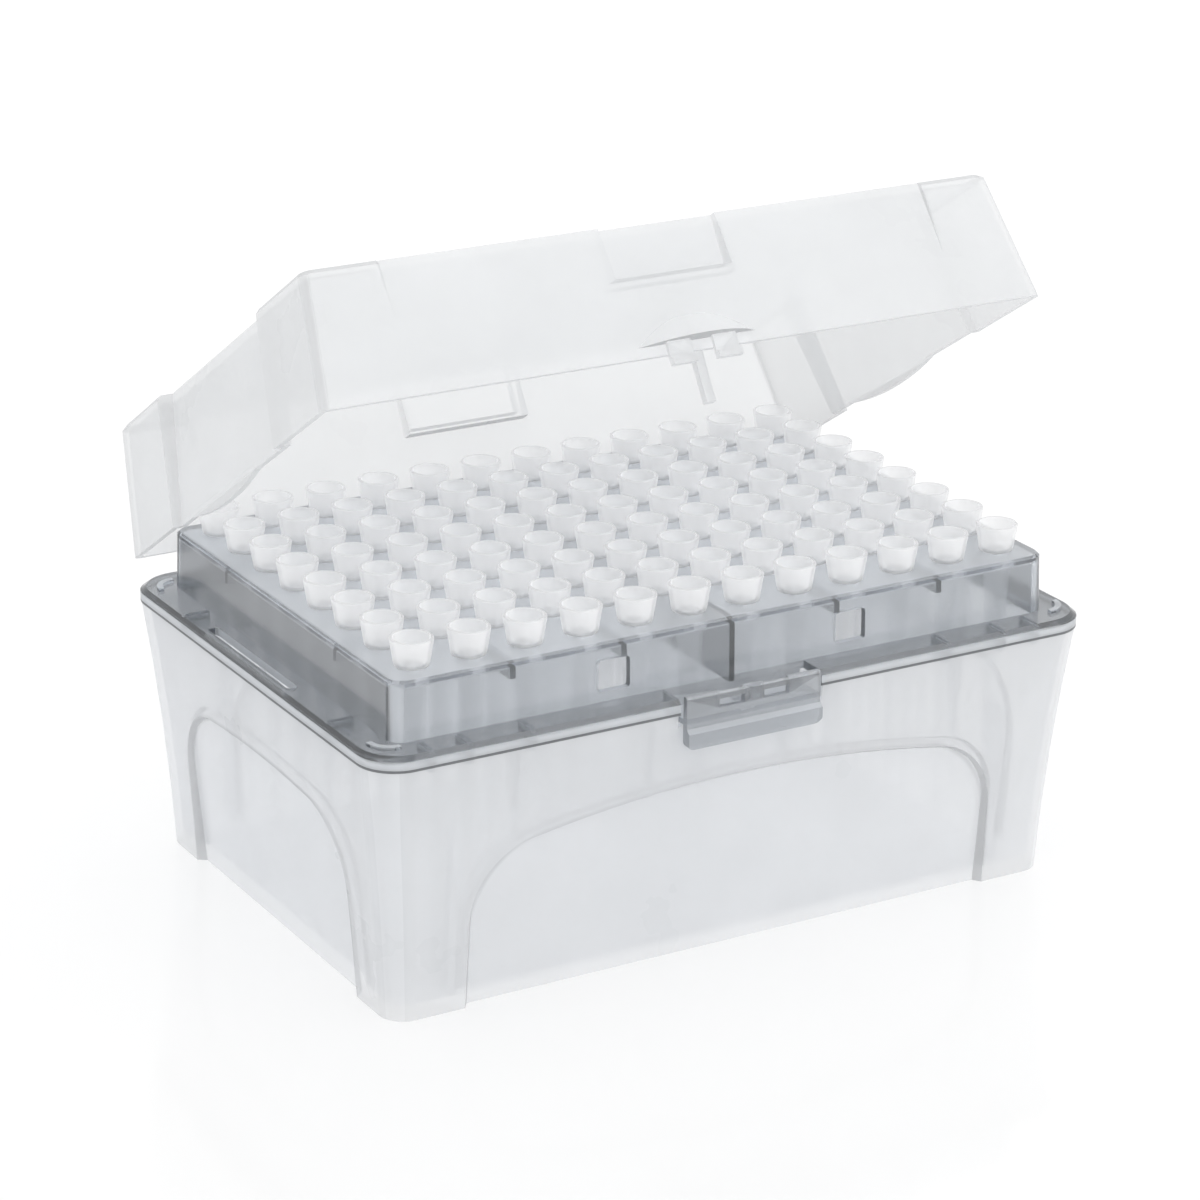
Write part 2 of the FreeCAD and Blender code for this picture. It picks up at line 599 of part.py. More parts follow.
def build_latch():
    """The sprung tongue on its web: what is added, and what is cut through it."""
    top = f"({FLANGE_TOP} + latch_top)"
    foot = f"({FLANGE_TOP} - latch_drop)"
    back, front = f"-{LATCH_BACK}", f"-{LATCH_FRONT}"
    profile = [
        (back, foot), (back, top), (f"{front} + latch_bevel", top), (front, f"{top} - latch_bevel"),
        (front, f"{foot} + latch_lip_foot + latch_lip_face + latch_lip_slope"),
        (f"{front} - latch_lip", f"{foot} + latch_lip_foot + latch_lip_face"),
        (f"{front} - latch_lip", f"{foot} + latch_lip_foot"), (f"{front} - latch_toe", foot),
    ]
    tongue = prism_form("latch_tongue_form", "YZ_Plane", profile, "latch_width")
    height = "(latch_drop + latch_top + 4)"
    trim = doc.addObject("PartDesign::Body", "latch_trim")
    rounded_rectangle(sketch_on(trim, "latch_trim_outline", "XZ_Plane"),
                      "latch_width / 2", f"{height} / 2", "latch_corner")
    pad = trim.newObject("PartDesign::Pad", "latch_trim_pad")
    pad.Profile = trim.Group[0]
    pad.Midplane = True
    bind(pad, Length="8")
    bind(trim, Placement__Base__y=back, Placement__Base__z=f"{foot} + {height} / 2")
    plate = common("latch_plate", tongue, trim)
    web_top = f"({FLANGE_TOP} - latch_web_drop)"
    half = "latch_width / 2"
    wall_back = f"-({PLATE_Y} - plateau_wall + plateau_draft)"
    web = block("latch_web_plate", (f"-{half}", f"{back} - 0.2", f"{web_top} - latch_web"),
                (half, wall_back, web_top))
    riser = block("latch_riser",
                  (f"-{half}", f"-({PLATE_Y} + plateau_draft)", f"{web_top} - latch_web"),
                  (half, wall_back, f"{FLANGE_UNDER} + 0.4"))
    boss = doc.addObject("Part::Cylinder", "latch_boss")
    boss.Angle = 180
    boss.Placement.Rotation = Rotation(Vector(0, 0, 1), 180)
    bind(boss, Radius="latch_boss", Height="latch_top + latch_boss_drop",
         Placement__Base__y=f"{front} + 0.4", Placement__Base__z=f"{FLANGE_TOP} - latch_boss_drop")
    # windows for the lid's catches, with an open channel above each, and the stem's hole
    lip_top = f"({LID_RIM} - hook_drop + hook_lip_height + 0.05)"
    lip_foot = f"({LID_RIM} - hook_drop)"
    tools = []
    for name, low, high in (("left", "-hook_outer", "-hook_inner"),
                            ("right", "hook_inner", "hook_outer")):
        low_x, high_x = f"{low} - hook_clearance", f"{high} + hook_clearance"
        tools.append(block(f"catch_window_{name}",
                           (low_x, f"{front} - 2", f"{lip_foot} - hook_clearance"),
                           (high_x, f"{back} + 1.5", f"{lip_top} + hook_clearance")))
        tools.append(block(f"catch_channel_{name}",
                           (low_x, f"{back} - hook_lip - hook_clearance", lip_top),
                           (high_x, f"{back} + 1.5", f"{top} + 1")))
    stem_y = f"(-{LID_FRONT} + lid_wall + stem_width / 3)"
    reach = "(stem_width / 2 + stem_clearance)"
    tools.append(block("stem_hole", (f"-{reach}", f"{stem_y} - {reach}", f"{web_top} - 3"),
                       (reach, f"{stem_y} + {reach}", f"{web_top} + 1")))
    return [plate, web, riser, boss], tools


def build_clips():
    """Two clips that the lid's pins snap into."""
    pieces, tools = [], []
    half = "clip_width / 2"
    outer = "(pin_radius + pin_clearance + clip_wall)"
    for name, x in (("left", "-hinge_spacing / 2"), ("right", "hinge_spacing / 2")):
        low, high = f"{x} - {half}", f"{x} + {half}"
        pieces.append(cylinder_x(f"clip_{name}", outer, low, high, HINGE_Y, HINGE_Z))
        pieces.append(block(f"clip_arm_{name}", (low, f"{FLANGE_Y} - 0.6", f"{HINGE_Z} - 1.1"),
                            (high, HINGE_Y, FLANGE_TOP)))
        tools.append(cylinder_x(f"clip_bore_{name}", "pin_radius + pin_clearance",
                                f"{low} - 1", f"{high} + 1", HINGE_Y, HINGE_Z))
        tools.append(block(f"clip_mouth_{name}",
                           (f"{low} - 1", f"{HINGE_Y} - clip_mouth / 2", HINGE_Z),
                           (f"{high} + 1", f"{HINGE_Y} + clip_mouth / 2", f"{HINGE_Z} + 4")))
    return pieces, tools


def build_corner_ribs():
    """A quarter ring on each corner of the flange, just inside the lid's corner."""
    rings = []
    inset = "(lid_wall + corner_rib_gap + corner_rib_radius)"
    middle_x = f"({LID_X} - {inset})"
    corners = [
        (0, middle_x, f"{LID_BACK} - {inset}"),
        (90, f"-{middle_x}", f"{LID_BACK} - {inset}"),
        (180, f"-{middle_x}", f"{inset} - {LID_FRONT}"),
        (270, middle_x, f"{inset} - {LID_FRONT}"),
    ]
    for turn, x, y in corners:
        quarters = []
        for part, radius in (("outer", "corner_rib_radius"),
                             ("inner", "corner_rib_radius - rib_thickness")):
            quarter = doc.addObject("Part::Cylinder", f"corner_rib_{part}_{turn}")
            quarter.Angle = 90
            quarter.Placement.Rotation = Rotation(Vector(0, 0, 1), turn)
            bind(quarter, Radius=radius, Height="corner_rib_height + 0.2",
                 Placement__Base__x=x, Placement__Base__y=y,
                 Placement__Base__z=f"{FLANGE_TOP} - 0.2")
            quarters.append(quarter)
        rings.append(cut(f"corner_rib_{turn}", quarters[0], quarters[1:]))
    return rings


def build_tray():
    flange = loft_form("flange_outside", [
        ("base_height", FLANGE_X, FLANGE_Y, "flange_corner"),
        (f"{FLANGE_TOP} - flange_edge", FLANGE_X, FLANGE_Y, "flange_corner"),
        (FLANGE_TOP, f"{FLANGE_X} - flange_edge", f"{FLANGE_Y} - flange_edge", "flange_corner"),
    ])
    hollow = loft_form("flange_inside", [
        ("base_height - 1", f"{FLANGE_X} - skirt_wall", f"{FLANGE_Y} - skirt_wall",
         "flange_corner - skirt_wall"),
        (FLANGE_UNDER, f"{FLANGE_X} - skirt_wall", f"{FLANGE_Y} - skirt_wall",
         "flange_corner - skirt_wall"),
    ])
    plateau = plateau_form("plateau_outside", "0", FLANGE_UNDER, PLATE_TOP, "plateau_edge")
    cavity = plateau_form("plateau_inside", "plateau_wall", f"{FLANGE_UNDER} - 1", PLATE_UNDER, "0.2")
    clips, clip_tools = build_clips()
    latch, latch_tools = build_latch()
    # the flange stops short of the tongue on both sides
    gap = "(latch_width / 2 + latch_slit)"
    latch_bay = block("latch_bay", (f"-{gap}", f"-{FLANGE_Y} - 1", "base_height - 1"),
                      (gap, f"-({PLATE_Y} + plateau_draft)", f"{FLANGE_TOP} + 1"))
    slots = []
    slot_x = f"({LID_X} - lid_side_recess_rim - lid_wall / 2)"
    for name, sign in (("left", "-"), ("right", "")):
        slot = loft_form(f"tongue_slot_{name}", [
            (height, "lid_wall / 2 + tongue_clearance", "tongue_length / 2 + 2 * tongue_clearance",
             "lid_wall / 2")
            for height in (f"{FLANGE_UNDER} - 1", f"{FLANGE_TOP} + 1")
        ], mid_y=TONGUE_Y)
        slots.append(bind(slot, Placement__Base__x=f"{sign}{slot_x}"))
    windows = []
    for name, sign in (("left", "-"), ("right", "")):
        window = doc.addObject("PartDesign::Body", f"window_{name}")
        rounded_rectangle(sketch_on(window, f"window_{name}_outline", "XZ_Plane"),
                          "window_width / 2", "window_height / 2", "window_corner")
        pad = window.newObject("PartDesign::Pad", f"window_{name}_pad")
        pad.Profile = window.Group[0]
        bind(pad, Length="4")
        bind(window, Placement__Base__x=f"{sign}window_offset",
             Placement__Base__y=f"-({PLATE_Y} - plateau_wall - 1)",
             Placement__Base__z=f"{FLANGE_TOP} + window_sill + window_height / 2")
        windows.append(window)
        windows.append(mirrored(f"back_window_{name}", window, Vector(0, 1, 0)))
    skin = cut("flange_shell", flange, [hollow, latch_bay])
    hat = cut("tray_hat", fuse("tray_skin", [skin, plateau]), [cavity] + windows + slots)
    added = [hat] + build_tray_ribs() + latch + clips + build_corner_ribs()
    return cut("tray", fuse("tray_solid", added), [build_holes()] + latch_tools + clip_tools)


# ---------------------------------------------------------------- lid


def lid_form(name, inset, rim, top, edge):
    """The lid's plain tapered form moved inwards by inset."""
    lean_x = f"lid_lean_x * ({top} - {edge} - ({rim})) / lid_height"
    lean_y = f"lid_lean_y * ({top} - {edge} - ({rim})) / lid_height"
    half_x, half_y = f"({LID_X} - ({inset}))", f"({LID_Y} - ({inset}))"
    corner = f"max(lid_corner - ({inset}); 0.3)"
    return loft_form(name, [
        (rim, half_x, half_y, corner),
        (f"{top} - {edge}", f"{half_x} - {lean_x}", f"{half_y} - {lean_y}", corner),
        (top, f"{half_x} - {lean_x} - {edge}", f"{half_y} - {lean_y} - {edge}", corner),
    ], mid_y=LID_MID)


def lid_panels(name, inset):
    """What sets the lid's panels and notches back, for a face moved inwards by inset."""
    rim, top = LID_RIM, LID_TOP
    far = "6"
    side_rim = f"({LID_X} - lid_side_recess_rim - ({inset}))"
    side_top = f"({LID_X} - lid_lean_x - lid_side_recess_top - ({inset}))"
    slope = f"(({side_rim} - {side_top}) / lid_height)"
    side = prism_form(f"{name}_side", "XZ_Plane", [
        (f"{side_rim} + {slope} * 5", f"{rim} - 5"),
        (f"{LID_X} + {far}", f"{rim} - 5"),
        (f"{LID_X} + {far}", f"{top} + 5"),
        (f"{side_top} - {slope} * 5", f"{top} + 5"),
    ], f"2 * ({LID_Y} - lid_post_short + ({inset}))", LID_MID)
    other_side = mirrored(f"{name}_other_side", side, Vector(1, 0, 0))
    pieces = [side, other_side]
    # the long walls at the height where the panel starts, and at the top
    fade = f"lid_lean_y * lid_front_fade / lid_height"
    for place, sign, wall in (("front", "-", LID_FRONT), ("back", "", LID_BACK)):
        low = f"({wall} - {fade} - ({inset}))"
        high = f"({wall} - lid_lean_y - lid_front_recess - ({inset}))"
        steep = f"(({low} - {high}) / (lid_height - lid_front_fade))"
        pieces.append(prism_form(f"{name}_{place}", "YZ_Plane", [
            (f"{sign}{low}", f"{rim} + lid_front_fade"),
            (f"{sign}({low} + 4)", f"{rim} + lid_front_fade"),
            (f"{sign}({low} + 4)", f"{top} + 2"),
            (f"{sign}({high} - {steep} * 2)", f"{top} + 2"),
        ], f"2 * ({LID_X} - lid_post_long + ({inset}))"))
        floor = f"({wall} - lid_lean_y - notch_depth - ({inset}))"
        foot = f"({top} - notch_height - ({inset}))"
        half = f"(notch_width / 2 + ({inset}))"
        corners = sorted((f"{sign}{floor}", f"{sign}({wall} + 4)"), key=number)
        pieces.append(block(f"{name}_{place}_notch", (f"-{half}", corners[0], foot),
                            (half, corners[1], f"{top} + 3")))
    return pieces


def build_ledge():
    """The thumb ledge: the part of a cone that stands in front of the front wall."""
    cone = doc.addObject("Part::Cone", "ledge_cone")
    half = "ledge_width / 2"
    large = f"(({half} * {half} + ledge_reach * ledge_reach) / (2 * ledge_reach))"
    bind(cone, Radius1=large, Radius2=f"{large} - ledge_reach", Height="ledge_height",
         Placement__Base__y=f"-({LID_FRONT} + ledge_reach - {large})",
         Placement__Base__z=f"{LID_RIM} + ledge_foot")
    return cone


def build_catches():
    """Two catches and a guide stem under the front wall."""
    pieces = []
    plate_front = f"-({LATCH_BACK} - 0.1)"
    foot = f"({LID_RIM} - hook_drop)"
    for name, low, high in (("left", "-hook_outer", "-hook_inner"),
                            ("right", "hook_inner", "hook_outer")):
        pieces.append(block(f"catch_plate_{name}", (low, plate_front, foot),
                            (high, f"{plate_front} + hook_thickness", f"{LID_RIM} + ledge_foot + 0.5")))
        pieces.append(block(f"catch_lip_{name}", (low, f"{plate_front} - hook_lip", foot),
                            (high, f"{plate_front} + 0.1", f"{foot} + hook_lip_height")))
    inner = f"(-{LID_FRONT} + lid_wall)"
    pieces.append(block("guide_stem", ("-stem_width / 2", f"{inner} - 0.3", f"{LID_RIM} - stem_drop"),
                        ("stem_width / 2", f"{inner} + stem_width * 2 / 3", f"{LID_RIM} + 3.5")))
    return pieces


def build_side_tongues():
    """A shallow bowed tongue under the rim of each short side."""
    half, drop = "(tongue_length / 2)", "tongue_drop"
    radius = f"(({half} * {half} + {drop} * {drop}) / (2 * {drop}))"
    tongue = doc.addObject("PartDesign::Body", "side_tongue")
    sketch = sketch_on(tongue, "side_tongue_outline", "YZ_Plane")
    a, d, r = number(half), number(drop), number(radius)
    top = 0.8
    sketch.addGeometry(Part.LineSegment(Vector(a, 0, 0), Vector(a, top, 0)), False)
    sketch.addGeometry(Part.LineSegment(Vector(a, top, 0), Vector(-a, top, 0)), False)
    sketch.addGeometry(Part.LineSegment(Vector(-a, top, 0), Vector(-a, 0, 0)), False)
    reach = math.asin(a / r)
    circle = Part.Circle(Vector(0, r - d, 0), Vector(0, 0, 1), r)
    first = -math.pi / 2
    sketch.addGeometry(Part.ArcOfCircle(circle, first - reach, first + reach), False)
    for before, after in ((0, 1), (1, 2), (2, 3), (3, 0)):
        constrain(sketch, "Coincident", before, 2, after, 1)
    constrain(sketch, "Vertical", 0)
    constrain(sketch, "Vertical", 2)
    constrain(sketch, "Symmetric", 1, 1, 1, 2, -2)
    constrain(sketch, "PointOnObject", 0, 1, -1)
    constrain(sketch, "PointOnObject", 2, 2, -1)
    constrain(sketch, "DistanceX", -1, 1, 0, 1, size=half)
    constrain(sketch, "DistanceY", -1, 1, 0, 2, size=str(top))
    constrain(sketch, "Radius", 3, size=radius)
    pad = tongue.newObject("PartDesign::Pad", "side_tongue_pad")
    pad.Profile = sketch
    bind(pad, Length="lid_wall")
    bind(tongue, Placement__Base__x=f"{LID_X} - lid_side_recess_rim - lid_wall - 0.05",
         Placement__Base__y=TONGUE_Y, Placement__Base__z=LID_RIM)
    return [tongue, mirrored("other_side_tongue", tongue, Vector(1, 0, 0))]


def build_hinge_ears():
    """On each hinge, two ears with a pin between them and a bridge over the clip."""
    pieces = []
    wall = f"({LID_BACK} - lid_wall / 2)"
    under = f"({FLANGE_TOP} + cheek_rest)"
    ear = [
        (wall, under), (f"{HINGE_Y} - cheek_radius", under), (f"{HINGE_Y} - cheek_radius", HINGE_Z),
        (f"{HINGE_Y} + cheek_radius", HINGE_Z), (f"{HINGE_Y} + cheek_radius", f"{HINGE_Z} + 1.2"),
        (f"{HINGE_Y} - 0.5", f"{HINGE_Z} + cheek_nose"), (wall, f"{HINGE_Z} + cheek_rise"),
    ]
    bridge = [
        (wall, f"{HINGE_Z} + bridge_foot"), (f"{HINGE_Y} - 0.7", f"{HINGE_Z} + bridge_foot"),
        (f"{HINGE_Y} + 0.9", f"{HINGE_Z} + bridge_foot - 0.2"),
        (f"{HINGE_Y} - 0.5", f"{HINGE_Z} + cheek_nose"), (wall, f"{HINGE_Z} + cheek_rise"),
    ]
    offset = "(clip_width / 2 + cheek_gap + cheek_thickness / 2)"
    for name, x in (("left", "(-hinge_spacing / 2)"), ("right", "(hinge_spacing / 2)")):
        for side, sign in (("inner", "-"), ("outer", "+")):
            middle = f"{x} {sign} {offset}"
            pieces.append(prism_form(f"ear_{name}_{side}", "YZ_Plane", ear, "cheek_thickness", middle))
            pieces.append(cylinder_x(f"ear_round_{name}_{side}", "cheek_radius",
                                     f"{middle} - cheek_thickness / 2",
                                     f"{middle} + cheek_thickness / 2", HINGE_Y, HINGE_Z))
        pieces.append(cylinder_x(f"hinge_pin_{name}", "pin_radius", f"{x} - {offset}",
                                 f"{x} + {offset}", HINGE_Y, HINGE_Z))
        pieces.append(prism_form(f"ear_bridge_{name}", "YZ_Plane", bridge, f"2 * {offset}", x))
    return pieces


def build_lid():
    outside = cut("lid_outside", lid_form("lid_blank", "0", LID_RIM, LID_TOP, "lid_edge"),
                  lid_panels("lid_outer", "0"))
    inside = cut("lid_inside",
                 lid_form("lid_core", "lid_wall", f"({LID_RIM} - 0.01)", f"({LID_TOP} - lid_wall)", "0.3"),
                 lid_panels("lid_inner", "lid_wall"))
    shell = cut("lid_shell", fuse("lid_with_ledge", [outside, build_ledge()]), [inside])
    lid = fuse("lid", [shell] + build_catches() + build_side_tongues() + build_hinge_ears())
    hinge = Vector(0, number(HINGE_Y), number(HINGE_Z))
    swing = Rotation(Vector(1, 0, 0), -number("lid_open"))
    lid.Placement = Placement(Vector(0, 0, 0), swing, hinge)
    return lid


# ---------------------------------------------------------------- tips


def polygon_sketch(body, name, radius, height):
    """A regular polygon round the axis, its corners on a circle of the given radius."""
    sketch = sketch_on(body, name, offset=height)
    r = number(radius)
    corners = [
        Vector(r * math.cos(2 * math.pi * i / SIDES), r * math.sin(2 * math.pi * i / SIDES), 0)
        for i in range(SIDES)
    ]
    for i in range(SIDES):
        sketch.addGeometry(Part.LineSegment(corners[i], corners[(i + 1) % SIDES]), False)
    sketch.addGeometry(Part.Circle(Vector(0, 0, 0), Vector(0, 0, 1), r), True)
    constrain(sketch, "Coincident", SIDES, 3, -1, 1)
    constrain(sketch, "Radius", SIDES, size=radius)
    for i in range(SIDES):
        constrain(sketch, "Coincident", i, 2, (i + 1) % SIDES, 1)
        constrain(sketch, "PointOnObject", i, 1, SIDES)
    for i in range(1, SIDES):
        constrain(sketch, "Equal", 0, i)
    constrain(sketch, "PointOnObject", 0, 1, -1)
    return sketch


def side_faces(feature, low, high, inward):
    """Names of the upright sides between two heights that face outwards, or into the bore."""
    names = []
    for i, face in enumerate(feature.Shape.Faces, start=1):
        u0, u1, v0, v1 = face.ParameterRange
        normal = face.normalAt((u0 + u1) / 2, (v0 + v1) / 2)
        middle = face.CenterOfMass
        into_bore = normal.x * middle.x + normal.y * middle.y < 0
        if abs(normal.z) < 0.5 and low < middle.z < high and into_bore == inward:
            names.append(f"Face{i}")
    return names


def tapered_stage(body, kind, name, radii, heights, inward):
    """A prism from the first height to the second, its sides drafted to the second radius."""
    sketch = polygon_sketch(body, f"{name}_outline", radii[0], heights[0])
    low, high = sorted((number(heights[0]), number(heights[1])))
    feature = body.newObject(f"PartDesign::{kind}", name)
    feature.Profile = sketch
    downwards = number(heights[1]) < number(heights[0])
    feature.Reversed = downwards == (kind == "Pad")
    bind(feature, Length=f"abs(({heights[1]}) - ({heights[0]}))")
    plane = body.newObject("PartDesign::Plane", f"{name}_plane")
    plane.AttachmentSupport = (origin_plane(body, "XY_Plane"), [""])
    plane.MapMode = "FlatFace"
    plane.setExpression("AttachmentOffset.Base.z", s(heights[0]))
    doc.recompute()
    before = feature.Shape.Volume
    draft = body.newObject("PartDesign::Draft", f"{name}_draft")
    draft.Base = (feature, side_faces(feature, low, high, inward))
    draft.NeutralPlane = (plane, [""])
    widens_upwards = (number(radii[1]) > number(radii[0])) != downwards
    draft.Reversed = widens_upwards != inward
    change = f"abs(({radii[1]}) - ({radii[0]})) * cos(180 deg / round_sides)"
    bind(draft, Angle=f"atan({change} / abs(({heights[1]}) - ({heights[0]})))")
    doc.recompute()
    grows = (number(radii[1]) > number(radii[0])) != inward
    if (draft.Shape.Volume > before) != grows:
        raise RuntimeError(f"{name} is drafted the wrong way")
    return draft


def build_tip():
    """One tip, with its shoulder at height 0: a cup, a long shaft and a bore right through."""
    body = doc.addObject("PartDesign::Body", "tip_form")
    rim, end, socket_foot = "tip_cup_height", "-tip_shaft_length", "(tip_cup_height - tip_socket_depth)"
    socket_radius = "(tip_neck_radius - tip_neck_wall)"
    tapered_stage(body, "Pad", "cup", ("tip_cup_radius", "tip_rim_radius"), ("0", rim), False)
    tapered_stage(body, "Pad", "shaft", ("tip_neck_radius", "tip_end_radius"), ("0", end), False)
    tapered_stage(body, "Pocket", "socket", (socket_radius, "tip_rim_radius - tip_rim_wall"),
                  (socket_foot, rim), True)
    tapered_stage(body, "Pocket", "channel",
                  ("tip_end_radius - tip_end_wall", f"{socket_radius} - tip_ledge"),
                  (end, socket_foot), True)
    return body


def build_tip_columns():
    tip = build_tip()
    columns = []
    for column in range(COLUMNS):
        name = f"tips_column_{column + 1:02d}"
        group = doc.addObject("Part::Compound", name)
        group.Links = [placed(f"tip_{column}_{row}", tip, column, row, PLATE_TOP)
                       for row in range(ROWS)]
        columns.append(group)
    return columns


# ---------------------------------------------------------------- build, test, write

nodes = [build_base(), build_tray(), build_lid()] + build_tip_columns()
for node in nodes:
    node.Label = node.Name
doc.recompute()

for thing in doc.Objects:
    if {"Invalid", "Error"} & set(thing.State):
        raise RuntimeError(f"{thing.Name} failed: {thing.State}")

os.makedirs("parts", exist_ok=True)
for node in nodes:
    shape = node.Shape
    if shape.isNull() or not shape.isValid():
        raise RuntimeError(f"{node.Label} has no valid shape")
    solids = shape.Solids
    print(f"{node.Label}: {len(solids)} solid(s), {sum(x.Volume for x in solids):.1f} mm3")
    shape.exportStep(f"parts/{node.Label}.step")
print(f"hinge axis at y {number(HINGE_Y):.3f}, z {number(HINGE_Z):.3f}")
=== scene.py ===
"""Box of pipette tips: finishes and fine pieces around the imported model, laid out as an add-on."""
import math

import bmesh
import bpy
from bpy.props import FloatProperty, FloatVectorProperty, IntProperty, PointerProperty
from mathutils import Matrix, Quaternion, Vector


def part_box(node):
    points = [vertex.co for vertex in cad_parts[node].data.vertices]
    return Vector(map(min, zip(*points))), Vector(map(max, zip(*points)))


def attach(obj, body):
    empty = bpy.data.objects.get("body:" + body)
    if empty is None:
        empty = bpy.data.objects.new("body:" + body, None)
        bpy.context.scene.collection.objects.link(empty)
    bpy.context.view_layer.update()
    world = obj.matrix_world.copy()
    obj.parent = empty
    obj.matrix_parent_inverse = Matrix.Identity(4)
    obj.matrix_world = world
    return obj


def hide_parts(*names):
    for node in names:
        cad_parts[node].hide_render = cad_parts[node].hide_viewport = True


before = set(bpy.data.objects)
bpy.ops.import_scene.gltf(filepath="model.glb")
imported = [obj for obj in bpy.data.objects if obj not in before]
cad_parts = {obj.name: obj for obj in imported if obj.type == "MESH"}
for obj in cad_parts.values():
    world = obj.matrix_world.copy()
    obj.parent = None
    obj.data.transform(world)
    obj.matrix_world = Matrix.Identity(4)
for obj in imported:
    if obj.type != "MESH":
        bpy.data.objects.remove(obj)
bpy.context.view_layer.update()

bl_info = {
    "name": "Pipette Tip Box",
    "version": (1, 0, 0),
    "blender": (4, 5, 0),
    "location": "3D View > Sidebar > Tip Box",
    "description": "Finishes the moulded box, its lid and its 96 tips, and sets the stage",
    "category": "Object",
}

MM = 0.001
COLUMN_NODES = sorted(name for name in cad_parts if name.startswith("tips_column"))
COLUMN_BOXES = [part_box(name) for name in COLUMN_NODES]
COLUMN_X = [(low.x + high.x) / 2 for low, high in COLUMN_BOXES]
TIP_FOOT = COLUMN_BOXES[0][0].z
TIP_RIM = COLUMN_BOXES[0][1].z
PITCH = COLUMN_X[1] - COLUMN_X[0]
ROWS = 1 + round((COLUMN_BOXES[0][1].y - COLUMN_BOXES[0][0].y - 0.8 * PITCH) / PITCH)
PLATE_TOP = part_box("tray")[1].z
BASE_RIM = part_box("base")[1]


def length(name, description, default):
    """A length in metres with its name and meaning."""
    return FloatProperty(name=name, description=description, default=default,
                         unit="LENGTH", precision=5)


def colour(name, description, default):
    """A linear colour with its name and meaning."""
    return FloatVectorProperty(name=name, description=description, default=default,
                               size=3, subtype="COLOR", min=0, max=1)


def share(name, description, default):
    """A number from 0 to 1 with its name and meaning."""
    return FloatProperty(name=name, description=description, default=default,
                         min=0, max=1, subtype="FACTOR")


class ShellSizes(bpy.types.PropertyGroup):
    """Sizes and tones that tell the faces of the three large mouldings apart; most tones paint light
    and shade on them.
    """
    merge: length("Merge", "Distance at which the model's loose corners are joined", 2e-6)
    panel_back: length("Panel", "Arched panel's foot behind the base's rim", 5.0 * MM)
    panel_lean: FloatProperty(name="Panel lean", description="Arched panel's lean from upright",
                              default=math.radians(5.6), subtype="ANGLE")
    panel_half_long: length("Long panel", "Half the arch's width, long sides", 43.9 * MM)
    panel_half_short: length("Short panel", "Half the arch's width, short sides", 26.4 * MM)
    base_tone: share("Base tone", "Brightness of the base's frame", 0.93)
    panel_tone: share("Panel tone", "Brightness of its arched panels", 1.0)
    arch_height: length("Arch height", "Crown of the arch", 28.0 * MM)
    arch_shoulder: length("Shoulder", "Radius of the arch's shoulders", 11.0 * MM)
    arch_crown: length("Crown", "Radius of the arch's crown", 190.0 * MM)
    # the arch's line and the slopes round the panels are painted shade
    line_out: length("Line place", "Middle of the arch's line outside the panel", 0.5 * MM)
    line_half: length("Line width", "Half the width of that line", 0.8 * MM)
    line_painted_shade: share("Line tone", "Brightness of that line", 0.78)
    slope_painted_shade: share("Slope tone", "Brightness of the slopes round them", 0.66)
    slope_density: FloatProperty(name="Slope density", default=1.8, min=0,
                                 description="How much less those slopes let through")
    lid_angle: FloatProperty(name="Lid angle", description="How far the lid stands open at rest",
                             default=math.radians(32.56), subtype="ANGLE")
    pin_y: length("Pin y", "Hinge axis behind the middle", 45.5 * MM)
    pin_z: length("Pin z", "Hinge axis above the floor", 41.0 * MM)
    lid_side: length("Lid side", "Just inside the lid's short walls", 49.0 * MM)
    lid_front: length("Lid front", "Just inside the lid's long walls", 33.0 * MM)
    lid_foot: length("Lid foot", "Lid's rim above the base's rim", 2.4 * MM)
    lid_height: length("Lid height", "Lid's rim to its top", 20.25 * MM)
    notch_half: length("Lid notch", "Half the width of the notches in its top", 12.0 * MM)
    notch_height: length("Notch height", "How far they reach down", 8.0 * MM)
    # the steps' tone is painted shade along the lid's steps
    step_painted_shade: share("Step tone", "Brightness of the lid's steps", 0.78)
    smooth: FloatProperty(name="Smooth angle", description="Faces closer than this shade as one",
                          default=math.radians(24), subtype="ANGLE")


class TipSizes(bpy.types.PropertyGroup):
    """One pipette tip, from its open end to its rim."""
    rim_radius: length("Rim radius", "Outside of the rim", 3.15 * MM)
    cup_radius: length("Cup radius", "Outside of the cup above its rounded foot", 2.62 * MM)
    neck_radius: length("Neck radius", "Shaft just under the cup", 1.95 * MM)
    end_radius: length("End radius", "Outside of the open end", 0.48 * MM)
    rim_wall: length("Rim wall", "Wall at the rim", 0.42 * MM)
    end_bore: length("End bore", "Inside of the open end", 0.24 * MM)
    cup_height: length("Cup height", "Rim above the plate", TIP_RIM - PLATE_TOP)
    facets: IntProperty(name="Facets", description="Flat sides round the tip", default=24, min=8)
    smooth: FloatProperty(name="Smooth angle", description="Faces closer than this shade as one",
                          default=math.radians(40), subtype="ANGLE")


class Finishes(bpy.types.PropertyGroup):
    """Colours of the four plastics."""
    base: colour("Frosted base", "Frosted polypropylene", (0.93, 0.938, 0.952))
    tray: colour("Smoke tray", "Smoke-grey polypropylene", (0.925, 0.945, 0.965))
    lid: colour("Milky lid", "Clear, slightly milky polypropylene", (0.828, 0.838, 0.848))
    tip: colour("Tips", "Natural polypropylene", (0.985, 0.985, 0.99))


